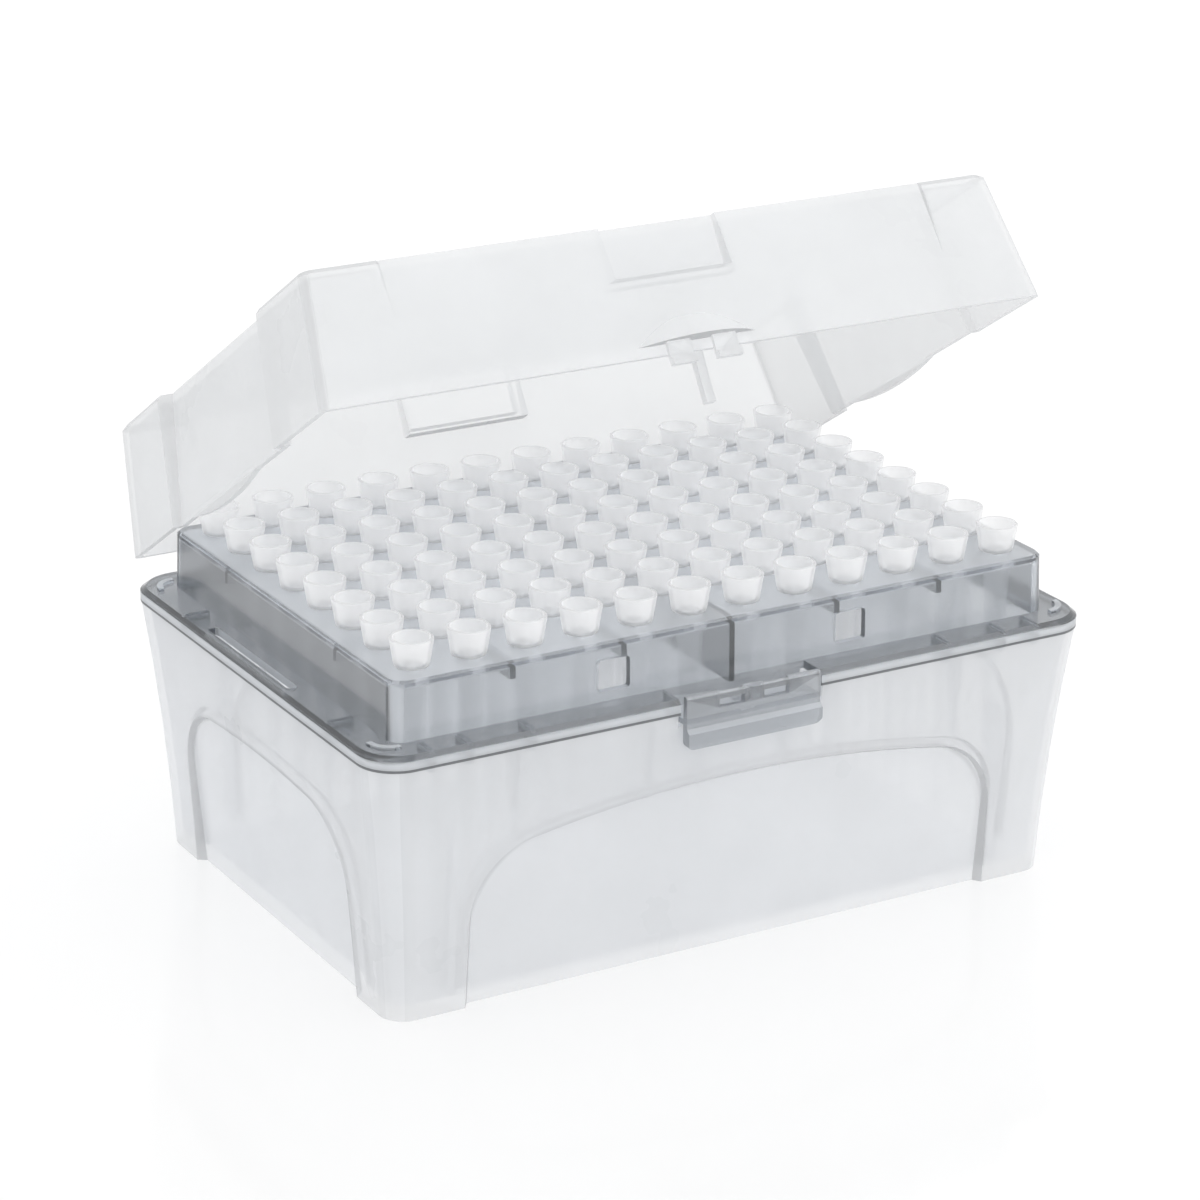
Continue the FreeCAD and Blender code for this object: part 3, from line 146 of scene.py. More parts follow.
class StageSettings(bpy.types.PropertyGroup):
    """Camera, floor and light."""
    camera_place: FloatVectorProperty(name="Camera place", description="Where the camera stands",
                                      default=(-0.2863, -0.4902, 0.2537), size=3,
                                      subtype="TRANSLATION")
    azimuth: FloatProperty(name="Azimuth", description="Camera's turn about the upright axis",
                           default=math.radians(-30.20), subtype="ANGLE")
    elevation: FloatProperty(name="Elevation", description="Camera above the horizon",
                             default=math.radians(20.49), subtype="ANGLE")
    roll: FloatProperty(name="Roll", description="Camera's turn about its own axis",
                        default=math.radians(0.52), subtype="ANGLE")
    lens: FloatProperty(name="Lens", description="Focal length in millimetres", default=119.7,
                        unit="CAMERA")
    floor_size: length("Floor", "Side of the square floor", 8.0)
    ambient: FloatProperty(name="Ambient", description="Light from all round", default=1.0)


# ---- node helpers -------------------------------------------------------------------------

POLYPROPYLENE_IOR = 1.49
CLOUDS = 55.0
GRAIN_DEPTH = 0.02 * MM


def new_material(name):
    """An empty node material with its output."""
    material = bpy.data.materials.new(name)
    material.use_nodes = True
    tree = material.node_tree
    tree.nodes.clear()
    return material, tree


def node(tree, kind, inputs=None, **settings):
    """A node with its settings, and its inputs set or linked."""
    made = tree.nodes.new(kind)
    for key, value in settings.items():
        setattr(made, key, value)
    for key, value in (inputs or {}).items():
        if isinstance(value, bpy.types.NodeSocket):
            tree.links.new(value, made.inputs[key])
        else:
            made.inputs[key].default_value = value
    return made


def noise(tree, scale, detail):
    """Noise on the piece's own coordinates, between 0 and 1."""
    place = node(tree, "ShaderNodeTexCoord").outputs["Object"]
    return node(tree, "ShaderNodeTexNoise", {"Vector": place, "Scale": scale, "Detail": detail,
                                             "Roughness": 0.5}).outputs["Fac"]


def ranged(tree, value, low, high):
    """Noise brought between low and high."""
    return node(tree, "ShaderNodeMapRange", {"Value": value, "From Min": 0.3, "From Max": 0.7,
                                             "To Min": low, "To Max": high}).outputs["Result"]


def calc(tree, operation, *values):
    """One sum on sockets or numbers."""
    return node(tree, "ShaderNodeMath", dict(enumerate(values)), operation=operation).outputs[0]


def mixed(tree, part, first, second):
    """One shader with a part of a second one in it."""
    return node(tree, "ShaderNodeMixShader", {0: part, 1: first, 2: second}).outputs[0]


def lets_light_through(tree, shader, shade, soft=0.0):
    """Shadow rays pass, and a share of soft light, dimmed by shade: what is inside is lit."""
    path = node(tree, "ShaderNodeLightPath")
    part = calc(tree, "MULTIPLY", path.outputs["Is Diffuse Ray"], soft)
    passing = calc(tree, "MAXIMUM", path.outputs["Is Shadow Ray"], part)
    clear = node(tree, "ShaderNodeBsdfTransparent", {"Color": (*shade, 1.0)})
    return mixed(tree, passing, shader, clear.outputs[0])


def face_marks(tree):
    """What mark_faces wrote on the faces: a tone for the colour, and a density for the haze."""
    marks = node(tree, "ShaderNodeAttribute", attribute_name="marks").outputs["Vector"]
    parts = node(tree, "ShaderNodeSeparateXYZ", {0: marks}).outputs
    return parts["X"], parts["Y"]


def object_place(tree):
    """The place on the piece, as three sockets."""
    place = node(tree, "ShaderNodeTexCoord").outputs["Object"]
    return node(tree, "ShaderNodeSeparateXYZ", {0: place}).outputs


def foot_painted_shade(foot, top, tone, gap):
    """Painted shade: a tone for the strip between two heights, broken at the latch, and 1 elsewhere.
    """
    def build(tree):
        place = object_place(tree)
        inside = calc(tree, "MULTIPLY", calc(tree, "GREATER_THAN", place["Z"], foot),
                      calc(tree, "LESS_THAN", place["Z"], top))
        beside = calc(tree, "MAXIMUM",
                      calc(tree, "GREATER_THAN", calc(tree, "ABSOLUTE", place["X"]), gap),
                      calc(tree, "GREATER_THAN", place["Y"], 0.0))
        inside = calc(tree, "MULTIPLY", inside, beside)
        return calc(tree, "MULTIPLY_ADD", inside, tone - 1.0, 1.0)
    return build


def arch_painted_shade(sizes):
    """Painted shade: soft grey lines where the arched panels step back from the posts."""
    def build(tree):
        place = object_place(tree)
        facing = node(tree, "ShaderNodeTexCoord").outputs["Normal"]
        facing = node(tree, "ShaderNodeSeparateXYZ", {0: facing}).outputs
        tone = None
        for wall, along, half in (("Y", "X", sizes.panel_half_long),
                                  ("X", "Y", sizes.panel_half_short)):
            across = calc(tree, "ABSOLUTE", place[along])
            bowed = calc(tree, "MULTIPLY_ADD", calc(tree, "MULTIPLY", across, across),
                         0.5 / sizes.arch_crown, place["Z"])
            side = calc(tree, "SUBTRACT", across, half - sizes.arch_shoulder)
            above = calc(tree, "SUBTRACT", bowed, sizes.arch_height - sizes.arch_shoulder)
            beyond = [calc(tree, "MAXIMUM", part, 0.0) for part in (side, above)]
            squares = [calc(tree, "MULTIPLY", part, part) for part in beyond]
            outside = calc(tree, "SQRT", calc(tree, "ADD", *squares))
            inside = calc(tree, "MINIMUM", calc(tree, "MAXIMUM", side, above), 0.0)
            edge = calc(tree, "SUBTRACT", calc(tree, "ADD", outside, inside),
                        sizes.arch_shoulder + sizes.line_out)
            line = node(tree, "ShaderNodeMapRange", {
                "Value": calc(tree, "ABSOLUTE", edge), "From Max": sizes.line_half,
                "To Min": sizes.line_painted_shade, "To Max": 1.0},
                interpolation_type="SMOOTHSTEP").outputs["Result"]
            faces = calc(tree, "GREATER_THAN", calc(tree, "ABSOLUTE", facing[wall]), 0.7)
            other = calc(tree, "SUBTRACT", 1.0, faces)
            line = calc(tree, "MAXIMUM", line, other)
            tone = line if tone is None else calc(tree, "MULTIPLY", tone, line)
        return tone
    return build


def clouded(tree, tint, cloud, variation, line):
    """The tint with slight clouding, times the faces' own tone and the painted lines, which are
    mostly painted light and shade.
    """
    pale = tuple(min(1.0, c * (1 + variation)) for c in tint)
    deep = tuple(c * (1 - variation) for c in tint)
    mix = node(tree, "ShaderNodeMix", {"Factor": ranged(tree, cloud, 0.0, 1.0)},
               data_type="RGBA")
    mix.inputs["A"].default_value = (*deep, 1.0)
    mix.inputs["B"].default_value = (*pale, 1.0)
    tone = face_marks(tree)[0]
    if line is not None:
        tone = calc(tree, "MULTIPLY", tone, line(tree))
    grey = node(tree, "ShaderNodeCombineColor", {0: tone, 1: tone, 2: tone}).outputs[0]
    return node(tree, "ShaderNodeMix", {"Factor": 1.0, "A": mix.outputs["Result"], "B": grey},
                data_type="RGBA", blend_type="MULTIPLY").outputs["Result"]


def plastic(name, tint, roughness, grain, variation=0.03, gloss=0.5, transmission=0.0,
            line=None):
    """Moulded plastic with fine mould grain: its tree, its colour and its shader. grain is how
    many grains there are to a metre."""
    material, tree = new_material(name)
    cloud = noise(tree, CLOUDS, 4.0)
    body = clouded(tree, tint, cloud, variation, line)
    bump = node(tree, "ShaderNodeBump", {"Height": noise(tree, grain, 2.0), "Strength": 0.6,
                                         "Distance": GRAIN_DEPTH})
    shader = node(tree, "ShaderNodeBsdfPrincipled", {
        "Base Color": body,
        "Roughness": ranged(tree, cloud, roughness * 0.88, roughness * 1.12),
        "IOR": POLYPROPYLENE_IOR,
        "Transmission Weight": transmission,
        "Specular IOR Level": gloss,
        "Normal": bump.outputs["Normal"],
    })
    return material, tree, body, shader.outputs[0]


def hazy_plastic(name, tint, roughness, flat, edge, glow, shade, soft, **finish):
    """Plastic that scatters: what is behind shows through a haze, flat face-on and edge at a
    grazing angle. glow is the share lit from behind, shade is what its shadows let pass, and soft
    is the share of soft light that passes."""
    material, tree, body, surface = plastic(name, tint, roughness, 1500.0, **finish)
    spread = node(tree, "ShaderNodeBsdfTranslucent", {"Color": body})
    surface = mixed(tree, glow, surface, spread.outputs[0])
    facing = node(tree, "ShaderNodeLayerWeight", {"Blend": 0.5}).outputs["Facing"]
    haze = node(tree, "ShaderNodeMapRange", {"Value": facing, "From Min": 0.5, "From Max": 1.0,
                                             "To Min": flat, "To Max": edge}).outputs["Result"]
    solid = node(tree, "ShaderNodeMath", {0: haze, 1: face_marks(tree)[1]},
                 operation="MULTIPLY", use_clamp=True).outputs[0]
    clear = node(tree, "ShaderNodeBsdfTransparent", {"Color": (1.0, 1.0, 1.0, 1.0)})
    surface = mixed(tree, solid, clear.outputs[0], surface)
    surface = lets_light_through(tree, surface, shade, soft)
    node(tree, "ShaderNodeOutputMaterial", {"Surface": surface})
    return material


def glassy_plastic(name, tint, roughness, thick, density, **finish):
    """Tinted clear plastic, a little rough; a face's density is the share of it that is milky.
    thick is the colour that light takes along a wall, and density is how fast."""
    material, tree, body, surface = plastic(name, tint, roughness, 1800.0, **finish)
    matte = node(tree, "ShaderNodeBsdfDiffuse", {"Color": body})
    spread = node(tree, "ShaderNodeBsdfTranslucent", {"Color": body})
    milk = mixed(tree, 0.4, matte.outputs[0], spread.outputs[0])
    surface = mixed(tree, face_marks(tree)[1], surface, milk)
    surface = lets_light_through(tree, surface, tuple(c ** 0.5 for c in tint))
    volume = node(tree, "ShaderNodeVolumeAbsorption", {"Color": (*thick, 1.0),
                                                       "Density": density})
    node(tree, "ShaderNodeOutputMaterial", {"Surface": surface, "Volume": volume.outputs[0]})
    return material


# ---- mesh helpers -------------------------------------------------------------------------

def add_object(name, mesh):
    """An object of that mesh at the origin, in the scene."""
    made = bpy.data.objects.new(name, mesh)
    bpy.context.scene.collection.objects.link(made)
    return made


def baked(piece):
    """The evaluated piece as a plain mesh on the same object, with no modifier left."""
    graph = bpy.context.evaluated_depsgraph_get()
    mesh = bpy.data.meshes.new_from_object(piece.evaluated_get(graph), depsgraph=graph)
    piece.modifiers.clear()
    old = piece.data
    piece.data = mesh
    mesh.name = piece.name
    bpy.data.meshes.remove(old)
    return piece


def shade_by_angle(mesh, angle):
    """Smooth faces, with edges sharper than the angle kept sharp."""
    bm = bmesh.new()
    bm.from_mesh(mesh)
    for face in bm.faces:
        face.smooth = True
    for edge in bm.edges:
        edge.smooth = len(edge.link_faces) == 2 and edge.calc_face_angle(0.0) < angle
    bm.to_mesh(mesh)
    bm.free()


def mark_faces(mesh, rule):
    """Writes the tone and the density that the rule gives each face."""
    bm = bmesh.new()
    bm.from_mesh(mesh)
    marks = []
    for face in bm.faces:
        tone, density = rule(face.calc_center_median(), face.normal)
        marks.extend((tone, density, 0.0))
    bm.free()
    mesh.attributes.new("marks", "FLOAT_VECTOR", "FACE").data.foreach_set("vector", marks)


def moulding(node_name, name, sizes, material, rule):
    """A joined and smoothly shaded copy of a CAD node, which stands in its place."""
    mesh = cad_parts[node_name].data.copy()
    bm = bmesh.new()
    bm.from_mesh(mesh)
    bmesh.ops.remove_doubles(bm, verts=bm.verts, dist=sizes.merge)
    bm.to_mesh(mesh)
    bm.free()
    mesh.materials.clear()
    mesh.materials.append(material)
    piece = add_object(name, mesh)
    shade_by_angle(piece.data, sizes.smooth)
    mark_faces(piece.data, rule)
    even = piece.modifiers.new("even", "WEIGHTED_NORMAL")
    even.keep_sharp = True
    even.weight = 60
    return baked(piece)


def lathe(name, profile, sides):
    """A closed profile of (radius, height) points turned about the upright axis."""
    bm = bmesh.new()
    rings = []
    for step in range(sides):
        turn = 2 * math.pi * step / sides
        rings.append([bm.verts.new((radius * math.cos(turn), radius * math.sin(turn), height))
                      for radius, height in profile])
    for step in range(sides):
        near, far = rings[step], rings[(step + 1) % sides]
        for i in range(len(profile)):
            j = (i + 1) % len(profile)
            bm.faces.new((near[i], far[i], far[j], near[j]))
    bmesh.ops.recalc_face_normals(bm, faces=bm.faces)
    mesh = bpy.data.meshes.new(name)
    bm.to_mesh(mesh)
    bm.free()
    return mesh


def repeat_tree(name):
    """Copies of an object along a line: count, step and material are inputs."""
    tree = bpy.data.node_groups.new(name, "GeometryNodeTree")
    sockets = {}
    for label, kind in (("Piece", "NodeSocketObject"), ("Count", "NodeSocketInt"),
                        ("Start", "NodeSocketVector"), ("Step", "NodeSocketVector"),
                        ("Material", "NodeSocketMaterial")):
        sockets[label] = tree.interface.new_socket(label, in_out="INPUT", socket_type=kind)
    tree.interface.new_socket("Geometry", in_out="OUTPUT", socket_type="NodeSocketGeometry")
    source = tree.nodes.new("NodeGroupInput")
    line = node(tree, "GeometryNodeMeshLine", {"Count": source.outputs["Count"],
                                               "Start Location": source.outputs["Start"],
                                               "Offset": source.outputs["Step"]})
    info = node(tree, "GeometryNodeObjectInfo", {"Object": source.outputs["Piece"]})
    copies = node(tree, "GeometryNodeInstanceOnPoints", {"Points": line.outputs["Mesh"],
                                                         "Instance": info.outputs["Geometry"]})
    real = node(tree, "GeometryNodeRealizeInstances", {"Geometry": copies.outputs[0]})
    finish = node(tree, "GeometryNodeSetMaterial", {"Geometry": real.outputs[0],
                                                    "Material": source.outputs["Material"]})
    sink = tree.nodes.new("NodeGroupOutput")
    tree.links.new(finish.outputs[0], sink.inputs["Geometry"])
    return tree, {label: socket.identifier for label, socket in sockets.items()}


def repeated(name, tree, inputs, values):
    """A plain mesh object made by the tree with these input values."""
    piece = add_object(name, bpy.data.meshes.new(name))
    modifier = piece.modifiers.new("repeat", "NODES")
    modifier.node_group = tree
    for label, value in values.items():
        modifier[inputs[label]] = value
    return baked(piece)


# ---- operators ----------------------------------------------------------------------------
#
# A rule tells from a face's place and normal which part of the moulding it is on. Its mark is a
# tone, 1 for the full colour, and a density, which is how hazy or milky the plastic is there. Most
# tones are painted light and shade: darker where shade falls and lighter where light falls.

def base_tones_and_painted_light(sizes):
    """Lighter arched panels, with painted shade on the slope round each and a painted highlight on
    the rounded corners.
    """
    lean = math.tan(sizes.panel_lean)
    sideways, ahead = math.cos(math.radians(72)), math.cos(math.radians(15))

    def rule(place, normal):
        for axis, half in ((0, sizes.panel_half_short), (1, sizes.panel_half_long)):
            out = abs(place[axis]) - (BASE_RIM[axis] - sizes.panel_back + place.z * lean)
            facing = abs(normal[axis])
            beside = abs(place[1 - axis]) > half + 2 * MM
            if beside or facing < sideways or abs(out) > 2.5 * MM:
                continue
            if abs(out) < 0.05 * MM and facing > ahead:
                return sizes.panel_tone, 1.0
            if facing < ahead:
                return sizes.slope_painted_shade, sizes.slope_density
        # the rounded corners' full tone is a painted highlight
        corner = abs(normal.x) > 0.35 and abs(normal.y) > 0.35
        return (1.0 if corner else sizes.base_tone), 1.0

    return rule


class TIPBOX_OT_base(bpy.types.Operator):
    """Frosted tub with its arched panels"""
    bl_idname = "tipbox.base"
    bl_label = "Frosted base"

    def execute(self, context):
        scene = context.scene
        tint = tuple(scene.tipbox_finishes.base)
        # the lines drawn round the base's arched panels are painted shade
        material = hazy_plastic("frosted_clear", tint, roughness=0.3, flat=0.46, edge=0.7,
                                glow=0.35, shade=(0.98, 0.982, 0.985), soft=0.1,
                                line=arch_painted_shade(scene.tipbox_shells))
        piece = moulding("base", "frosted_base", scene.tipbox_shells, material,
                         base_tones_and_painted_light(scene.tipbox_shells))
        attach(piece, "box")
        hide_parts("base")
        return {"FINISHED"}


# These tones are painted light and shade: darker flange, short sides and latch top where shade
# falls, lighter plate, skirt, plateau corners and latch ridge where light falls.
TRAY_PAINTED_LIGHT_AND_SHADE = {
    "plate": (0.99, 0.25), "plateau corner": (1.0, 0.2), "short side": (0.5, 0.0),
    "long side": (0.9, 0.0), "latch top": (0.6, 0.1), "latch ridge": (0.94, 0.25),
    "latch": (0.8, 0.2), "hinge clip": (0.8, 0.1), "flange slope": (0.32, 0.0),
    "flange top": (0.45, 0.0), "skirt": (1.0, 0.45), "inside": (0.85, 0.0),
}
LATCH_HALF = 12.5 * MM


def tray_zone(place, normal):
    """The place on the tray that a face belongs to."""
    if place.z > BASE_RIM.z + 2.4 * MM:
        if normal.z > 0.9:
            return "plate"
        if abs(normal.x) > 0.3 and abs(normal.y) > 0.3:
            return "plateau corner"
        return "short side" if abs(normal.x) > 0.8 else "long side"
    if place.y < -BASE_RIM.y + 6 * MM and abs(place.x) < LATCH_HALF:
        if place.z > BASE_RIM.z + 0.2 * MM:
            return "latch top"
        return "latch ridge" if normal.z > 0.3 else "latch"
    if abs(place.y) > BASE_RIM.y + 0.3 * MM:
        return "hinge clip"
    if normal.z > 0.2:
        return "flange slope" if normal.z < 0.98 else "flange top"
    beyond = abs(place.x) > BASE_RIM.x - 4 * MM or abs(place.y) > BASE_RIM.y - 4 * MM
    outside = beyond and place.x * normal.x + place.y * normal.y > 0
    return "skirt" if outside and abs(normal.z) < 0.2 else "inside"


def tray_painted_light_and_shade(place, normal):
    """Painted shade on the flange, the short sides and the latch top, and painted light on the
    plate, skirt, plateau corners and latch ridge, with a milkier plate and skirt.
    """
    return TRAY_PAINTED_LIGHT_AND_SHADE[tray_zone(place, normal)]


class TIPBOX_OT_tray(bpy.types.Operator):
    """Smoke-grey tray with its plateau, flange and latch"""
    bl_idname = "tipbox.tray"
    bl_label = "Smoke tray"

    def execute(self, context):
        scene = context.scene
        tint = tuple(scene.tipbox_finishes.tray)
        # painted shade along the skirt's foot, where it sits on the base's rim
        line = foot_painted_shade(BASE_RIM.z - 0.1 * MM, BASE_RIM.z + 0.4 * MM, tone=0.35,
                         gap=LATCH_HALF - 1 * MM)
        material = glassy_plastic("smoke_grey", tint, roughness=0.15,
                                  thick=(0.42, 0.48, 0.56), density=150.0,
                                  transmission=0.9, line=line)
        piece = moulding("tray", "smoke_tray", scene.tipbox_shells, material, tray_painted_light_and_shade)
        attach(piece, "box")
        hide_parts("tray")
        return {"FINISHED"}


# These tones are painted shade along steps, rims, notches, corners, under the rim and under the
# thumb ledge, and painted light on the ledge's top.
LID_PAINTED_LIGHT_AND_SHADE = {
    "under the rim": (0.85, 1.2), "notch foot": (0.74, 1.8), "notch side": (0.92, 1.1),
    "thumb ledge": (1.0, 1.6), "ledge underside": (0.6, 2.0), "rim": (0.85, 1.4),
    "top bevel": (0.8, 1.5), "corner": (0.88, 1.3), "wall": (0.97, 1.0),
}


def lid_painted_light_and_shade(sizes):
    """Painted shade: darker lines where the walls step back, along rims and notches and under the
    thumb ledge, with the ledge's top painted lighter.
    """
    shut = Quaternion((1, 0, 0), sizes.lid_angle)
    pin = Vector((0, sizes.pin_y, sizes.pin_z))
    rim = BASE_RIM.z + sizes.lid_foot
    top = rim + sizes.lid_height
    notch = top - sizes.notch_height

    def zone(place, normal):
        along, across, upright = (abs(part) for part in normal)
        if place.z < rim - 0.05 * MM:
            return "under the rim"
        if abs(place.x) < sizes.notch_half:
            if upright > 0.3 and abs(place.z - notch) < 2 * MM:
                return "notch foot"
            if along > 0.8 and place.z > notch - 1 * MM:
                return "notch side"
        if 0.3 < normal.z < 0.95 and place.z < rim + 6 * MM:
            return "thumb ledge"
        if normal.z < -0.9 and rim + 1 * MM < place.z < rim + 2 * MM:
            return "ledge underside"
        if normal.z < -0.9 and place.z < rim + 0.1 * MM:
            return "rim"
        if 0.3 < upright < 0.95 and place.z > top - 2 * MM:
            return "top bevel"
        if along > 0.3 and across > 0.3:
            return "corner"
        if along > 0.8 and abs(place.x) < sizes.lid_side:
            return "step"
        if across > 0.8 and abs(place.y) < sizes.lid_front:
            return "step"
        return "wall"

    marks = {**LID_PAINTED_LIGHT_AND_SHADE, "step": (sizes.step_painted_shade, 1.3)}
    return lambda place, normal: marks[zone(shut @ (place - pin) + pin, shut @ normal)]


class TIPBOX_OT_lid(bpy.types.Operator):
    """Milky lid with its thumb ledge and catches"""
    bl_idname = "tipbox.lid"
    bl_label = "Milky lid"

    def execute(self, context):
        scene = context.scene
        tint = tuple(scene.tipbox_finishes.lid)
        material = hazy_plastic("milky_clear", tint, roughness=0.3, flat=0.45, edge=0.65,
                                glow=0.3, shade=(0.99, 0.991, 0.993), soft=0.85, gloss=0.2)
        piece = moulding("lid", "milky_lid", scene.tipbox_shells, material,
                         lid_painted_light_and_shade(scene.tipbox_shells))
        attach(piece, "lid")
        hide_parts("lid")
        return {"FINISHED"}


# the tip's shaft at two heights above its open end: height, outer radius, bore's radius
SHAFT_LOW = (9 * MM, 0.80 * MM, 0.45 * MM)
SHAFT_HIGH = (24 * MM, 1.30 * MM, 0.85 * MM)


def tip_profile(sizes):
    """Outside from the open end up to the rim, then inside back down."""
    plate, rim, foot = PLATE_TOP, PLATE_TOP + sizes.cup_height, TIP_FOOT
    cup, neck, wall = sizes.cup_radius, sizes.neck_radius, sizes.rim_wall
    outside = [
        (sizes.end_radius, foot), (SHAFT_LOW[1], foot + SHAFT_LOW[0]),
        (SHAFT_HIGH[1], foot + SHAFT_HIGH[0]),
        (neck - 0.12 * MM, plate - 4.5 * MM), (neck, plate - 0.05 * MM),
        (cup - 0.42 * MM, plate + 0.02 * MM), (cup - 0.16 * MM, plate + 0.16 * MM),
        (cup, plate + 0.55 * MM), (sizes.rim_radius - 0.03 * MM, rim - 0.55 * MM),
        (sizes.rim_radius, rim - 0.12 * MM), (sizes.rim_radius - 0.1 * MM, rim),
    ]
    inner = sizes.rim_radius - wall
    inside = [
        (inner, rim), (inner - 0.06 * MM, rim - 1.0 * MM), (inner - 0.22 * MM, rim - 1.25 * MM),
        (inner - 0.42 * MM, plate + 1.1 * MM), (inner - 0.62 * MM, plate + 0.6 * MM),
        (1.50 * MM, plate + 0.3 * MM), (1.42 * MM, plate - 1.3 * MM),
        (SHAFT_HIGH[2], foot + SHAFT_HIGH[0]), (SHAFT_LOW[2], foot + SHAFT_LOW[0]),
        (sizes.end_bore, foot),
    ]
    return outside + inside


# the foot's dark tones are a painted shadow where each tip stands in the plate
TIP_MARKS = {
    "rim": (0.8, 1.2), "inner cup": (1.0, 1.4), "foot": (0.5, 1.6), "foot round": (0.7, 1.4),
    "shaft": (0.97, 0.45), "cup": (0.96, 0.85),
}


def tip_tones_and_painted_shadow(sizes):
    """A pale inner cup, a clearer wall round it, a darker line at the rim, and a painted shadow at
    the foot, where the tip stands in the plate.
    """
    rim = PLATE_TOP + sizes.cup_height

    def zone(place, normal):
        if place.z > rim - 0.1 * MM and abs(normal.z) > 0.5:
            return "rim"
        if place.x * normal.x + place.y * normal.y < 0 and place.z > PLATE_TOP:
            return "inner cup"
        if PLATE_TOP - 0.1 * MM < place.z < PLATE_TOP + 0.3 * MM:
            return "foot"
        if PLATE_TOP < place.z < PLATE_TOP + 0.5 * MM:
            return "foot round"
        return "shaft" if place.z < PLATE_TOP else "cup"

    return lambda place, normal: TIP_MARKS[zone(place, normal)]


class TIPBOX_OT_tips(bpy.types.Operator):
    """96 round pipette tips, one piece for each column"""
    bl_idname = "tipbox.tips"
    bl_label = "Pipette tips"

    def execute(self, context):
        scene = context.scene
        sizes = scene.tipbox_tips
        tint = tuple(scene.tipbox_finishes.tip)
        material = hazy_plastic("tip_clear", tint, roughness=0.25, flat=0.44, edge=0.8,
                                glow=0.35, shade=(0.995, 0.996, 0.998), soft=0.95,
                                variation=0.01, gloss=0.3)
        mesh = lathe("tip_form", tip_profile(sizes), sizes.facets)
        shade_by_angle(mesh, sizes.smooth)
        mark_faces(mesh, tip_tones_and_painted_shadow(sizes))
        form = add_object("tip_form", mesh)
        tree, inputs = repeat_tree("tips_in_a_column")
        for name, x, box in zip(COLUMN_NODES, COLUMN_X, COLUMN_BOXES):
            first = (box[0].y + box[1].y - (ROWS - 1) * PITCH) / 2
            piece = repeated("round_" + name, tree, inputs, {
                "Piece": form, "Count": ROWS, "Start": (x, first, 0.0),
                "Step": (0.0, PITCH, 0.0), "Material": material,
            })
            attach(piece, "box")
            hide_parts(name)
        bpy.data.objects.remove(form)
        return {"FINISHED"}


# each lamp's name, place, side and watts, and the point they all face
LAMPS = (("key", (0.55, -0.75, 0.85), 0.7, 3.6), ("top", (0.0, 0.1, 1.1), 0.9, 1.6))
LAMP_AIM = (0.0, 0.0, 0.04)


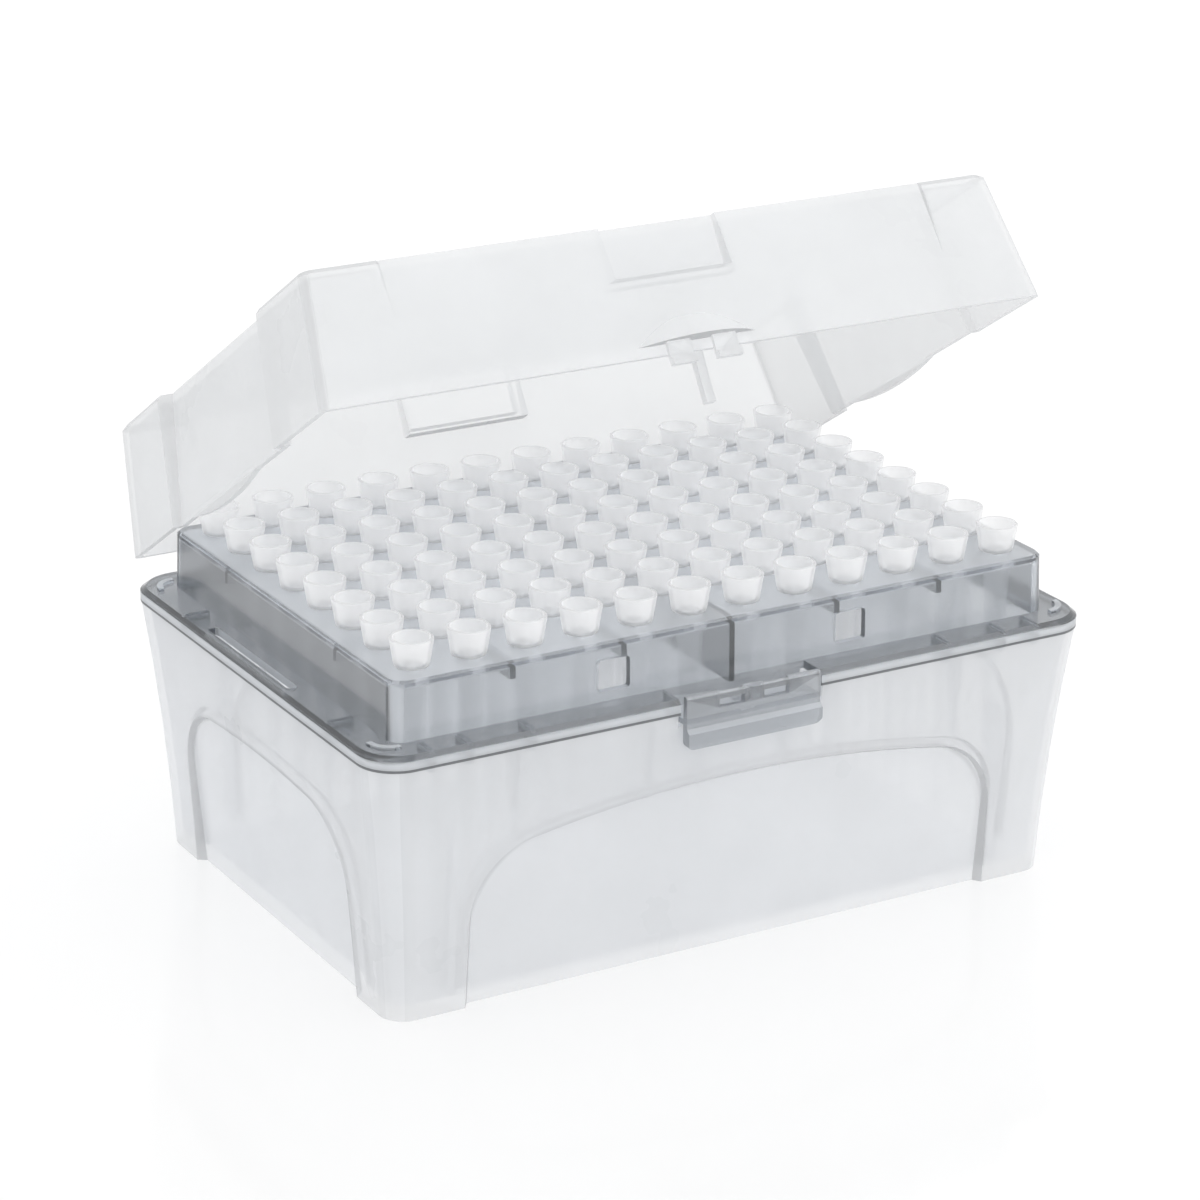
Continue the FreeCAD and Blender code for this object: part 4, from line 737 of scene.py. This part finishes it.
class TIPBOX_OT_stage(bpy.types.Operator):
    """Camera, pale floor and soft studio light"""
    bl_idname = "tipbox.stage"
    bl_label = "Stage"

    def execute(self, context):
        scene = context.scene
        stage = scene.tipbox_stage
        self.camera(scene, stage)
        self.floor(stage)
        self.world(scene, stage)
        self.lamps()
        scene.view_settings.view_transform = "Standard"
        scene.cycles.max_bounces = 10
        scene.cycles.transmission_bounces = 10
        scene.cycles.diffuse_bounces = 5
        scene.cycles.transparent_max_bounces = 24
        return {"FINISHED"}

    def camera(self, scene, stage):
        data = bpy.data.cameras.new("camera")
        data.sensor_width = 36.0
        data.lens = stage.lens
        data.clip_start, data.clip_end = 0.01, 20.0
        camera = add_object("camera", data)
        turn, rise = stage.azimuth, stage.elevation
        back = Vector((math.sin(turn) * math.cos(rise), -math.cos(turn) * math.cos(rise),
                       math.sin(rise)))
        camera.rotation_mode = "QUATERNION"
        camera.location = stage.camera_place
        camera.rotation_quaternion = ((-back).to_track_quat("-Z", "Y")
                                      @ Quaternion((0, 0, 1), stage.roll))
        scene.camera = camera

    def floor(self, stage):
        half = stage.floor_size / 2
        mesh = bpy.data.meshes.new("floor")
        mesh.from_pydata([(-half, -half, 0), (half, -half, 0), (half, half, 0),
                          (-half, half, 0)], [], [(0, 1, 2, 3)])
        material, tree = new_material("pale_floor")
        plain = node(tree, "ShaderNodeBsdfDiffuse", {"Color": (0.86, 0.865, 0.87, 1.0)})
        shader = node(tree, "ShaderNodeBsdfPrincipled", {
            "Base Color": (0.34, 0.34, 0.34, 1.0), "Roughness": 0.1, "IOR": 1.35})
        glow = node(tree, "ShaderNodeEmission", {"Color": (1, 1, 1, 1), "Strength": 0.555})
        pale = node(tree, "ShaderNodeAddShader", {0: shader.outputs[0], 1: glow.outputs[0]})
        both = mixed(tree, seen_directly(tree, 0.0, 1.0), plain.outputs[0], pale.outputs[0])
        node(tree, "ShaderNodeOutputMaterial", {"Surface": both})
        mesh.materials.append(material)
        floor = add_object("floor", mesh)

    def world(self, scene, stage):
        world = bpy.data.worlds.new("studio")
        world.use_nodes = True
        tree = world.node_tree
        tree.nodes.clear()
        strength = seen_directly(tree, stage.ambient, 1.0)
        shader = node(tree, "ShaderNodeBackground", {"Color": (1.0, 1.0, 1.0, 1.0),
                                                     "Strength": strength})
        node(tree, "ShaderNodeOutputWorld", {"Surface": shader.outputs[0]})
        scene.world = world

    def lamps(self):
        for name, place, size, power in LAMPS:
            data = bpy.data.lights.new(name, "AREA")
            data.shape = "SQUARE"
            data.size = size
            data.energy = power
            lamp = add_object(name, data)
            lamp.location = place
            lamp.rotation_mode = "QUATERNION"
            towards = Vector(LAMP_AIM) - Vector(place)
            lamp.rotation_quaternion = towards.to_track_quat("-Z", "Y")


def seen_directly(tree, other, seen):
    """A strength that is `seen` for camera, glossy and transmitted rays, and `other` for light."""
    path = node(tree, "ShaderNodeLightPath")
    total = path.outputs["Is Camera Ray"]
    for label in ("Is Glossy Ray", "Is Transmission Ray"):
        total = calc(tree, "MAXIMUM", total, path.outputs[label])
    return node(tree, "ShaderNodeMapRange", {"Value": total, "To Min": other,
                                             "To Max": seen}).outputs["Result"]


class TIPBOX_PT_panel(bpy.types.Panel):
    """Tip box pieces in the sidebar"""
    bl_idname = "TIPBOX_PT_panel"
    bl_label = "Tip Box"
    bl_space_type = "VIEW_3D"
    bl_region_type = "UI"
    bl_category = "Tip Box"

    def draw(self, context):
        for operator in OPERATORS:
            self.layout.operator(operator.bl_idname)
        for group in GROUPS:
            box = self.layout.box()
            settings = getattr(context.scene, group)
            for name in settings.bl_rna.properties.keys():
                if name not in ("rna_type", "name"):
                    box.prop(settings, name)


GROUPS = {
    "tipbox_shells": ShellSizes, "tipbox_tips": TipSizes,
    "tipbox_finishes": Finishes, "tipbox_stage": StageSettings,
}
OPERATORS = (TIPBOX_OT_base, TIPBOX_OT_tray, TIPBOX_OT_lid, TIPBOX_OT_tips, TIPBOX_OT_stage)


def register():
    for group, kind in GROUPS.items():
        bpy.utils.register_class(kind)
        setattr(bpy.types.Scene, group, PointerProperty(type=kind))
    for kind in (*OPERATORS, TIPBOX_PT_panel):
        bpy.utils.register_class(kind)


def unregister():
    for kind in reversed((*OPERATORS, TIPBOX_PT_panel)):
        bpy.utils.unregister_class(kind)
    for group, kind in GROUPS.items():
        delattr(bpy.types.Scene, group)
        bpy.utils.unregister_class(kind)


def main():
    """Makes every piece in order."""
    register()
    for operator in OPERATORS:
        area, name = operator.bl_idname.split(".")
        getattr(getattr(bpy.ops, area), name)()


if __name__ == "__main__":
    main()
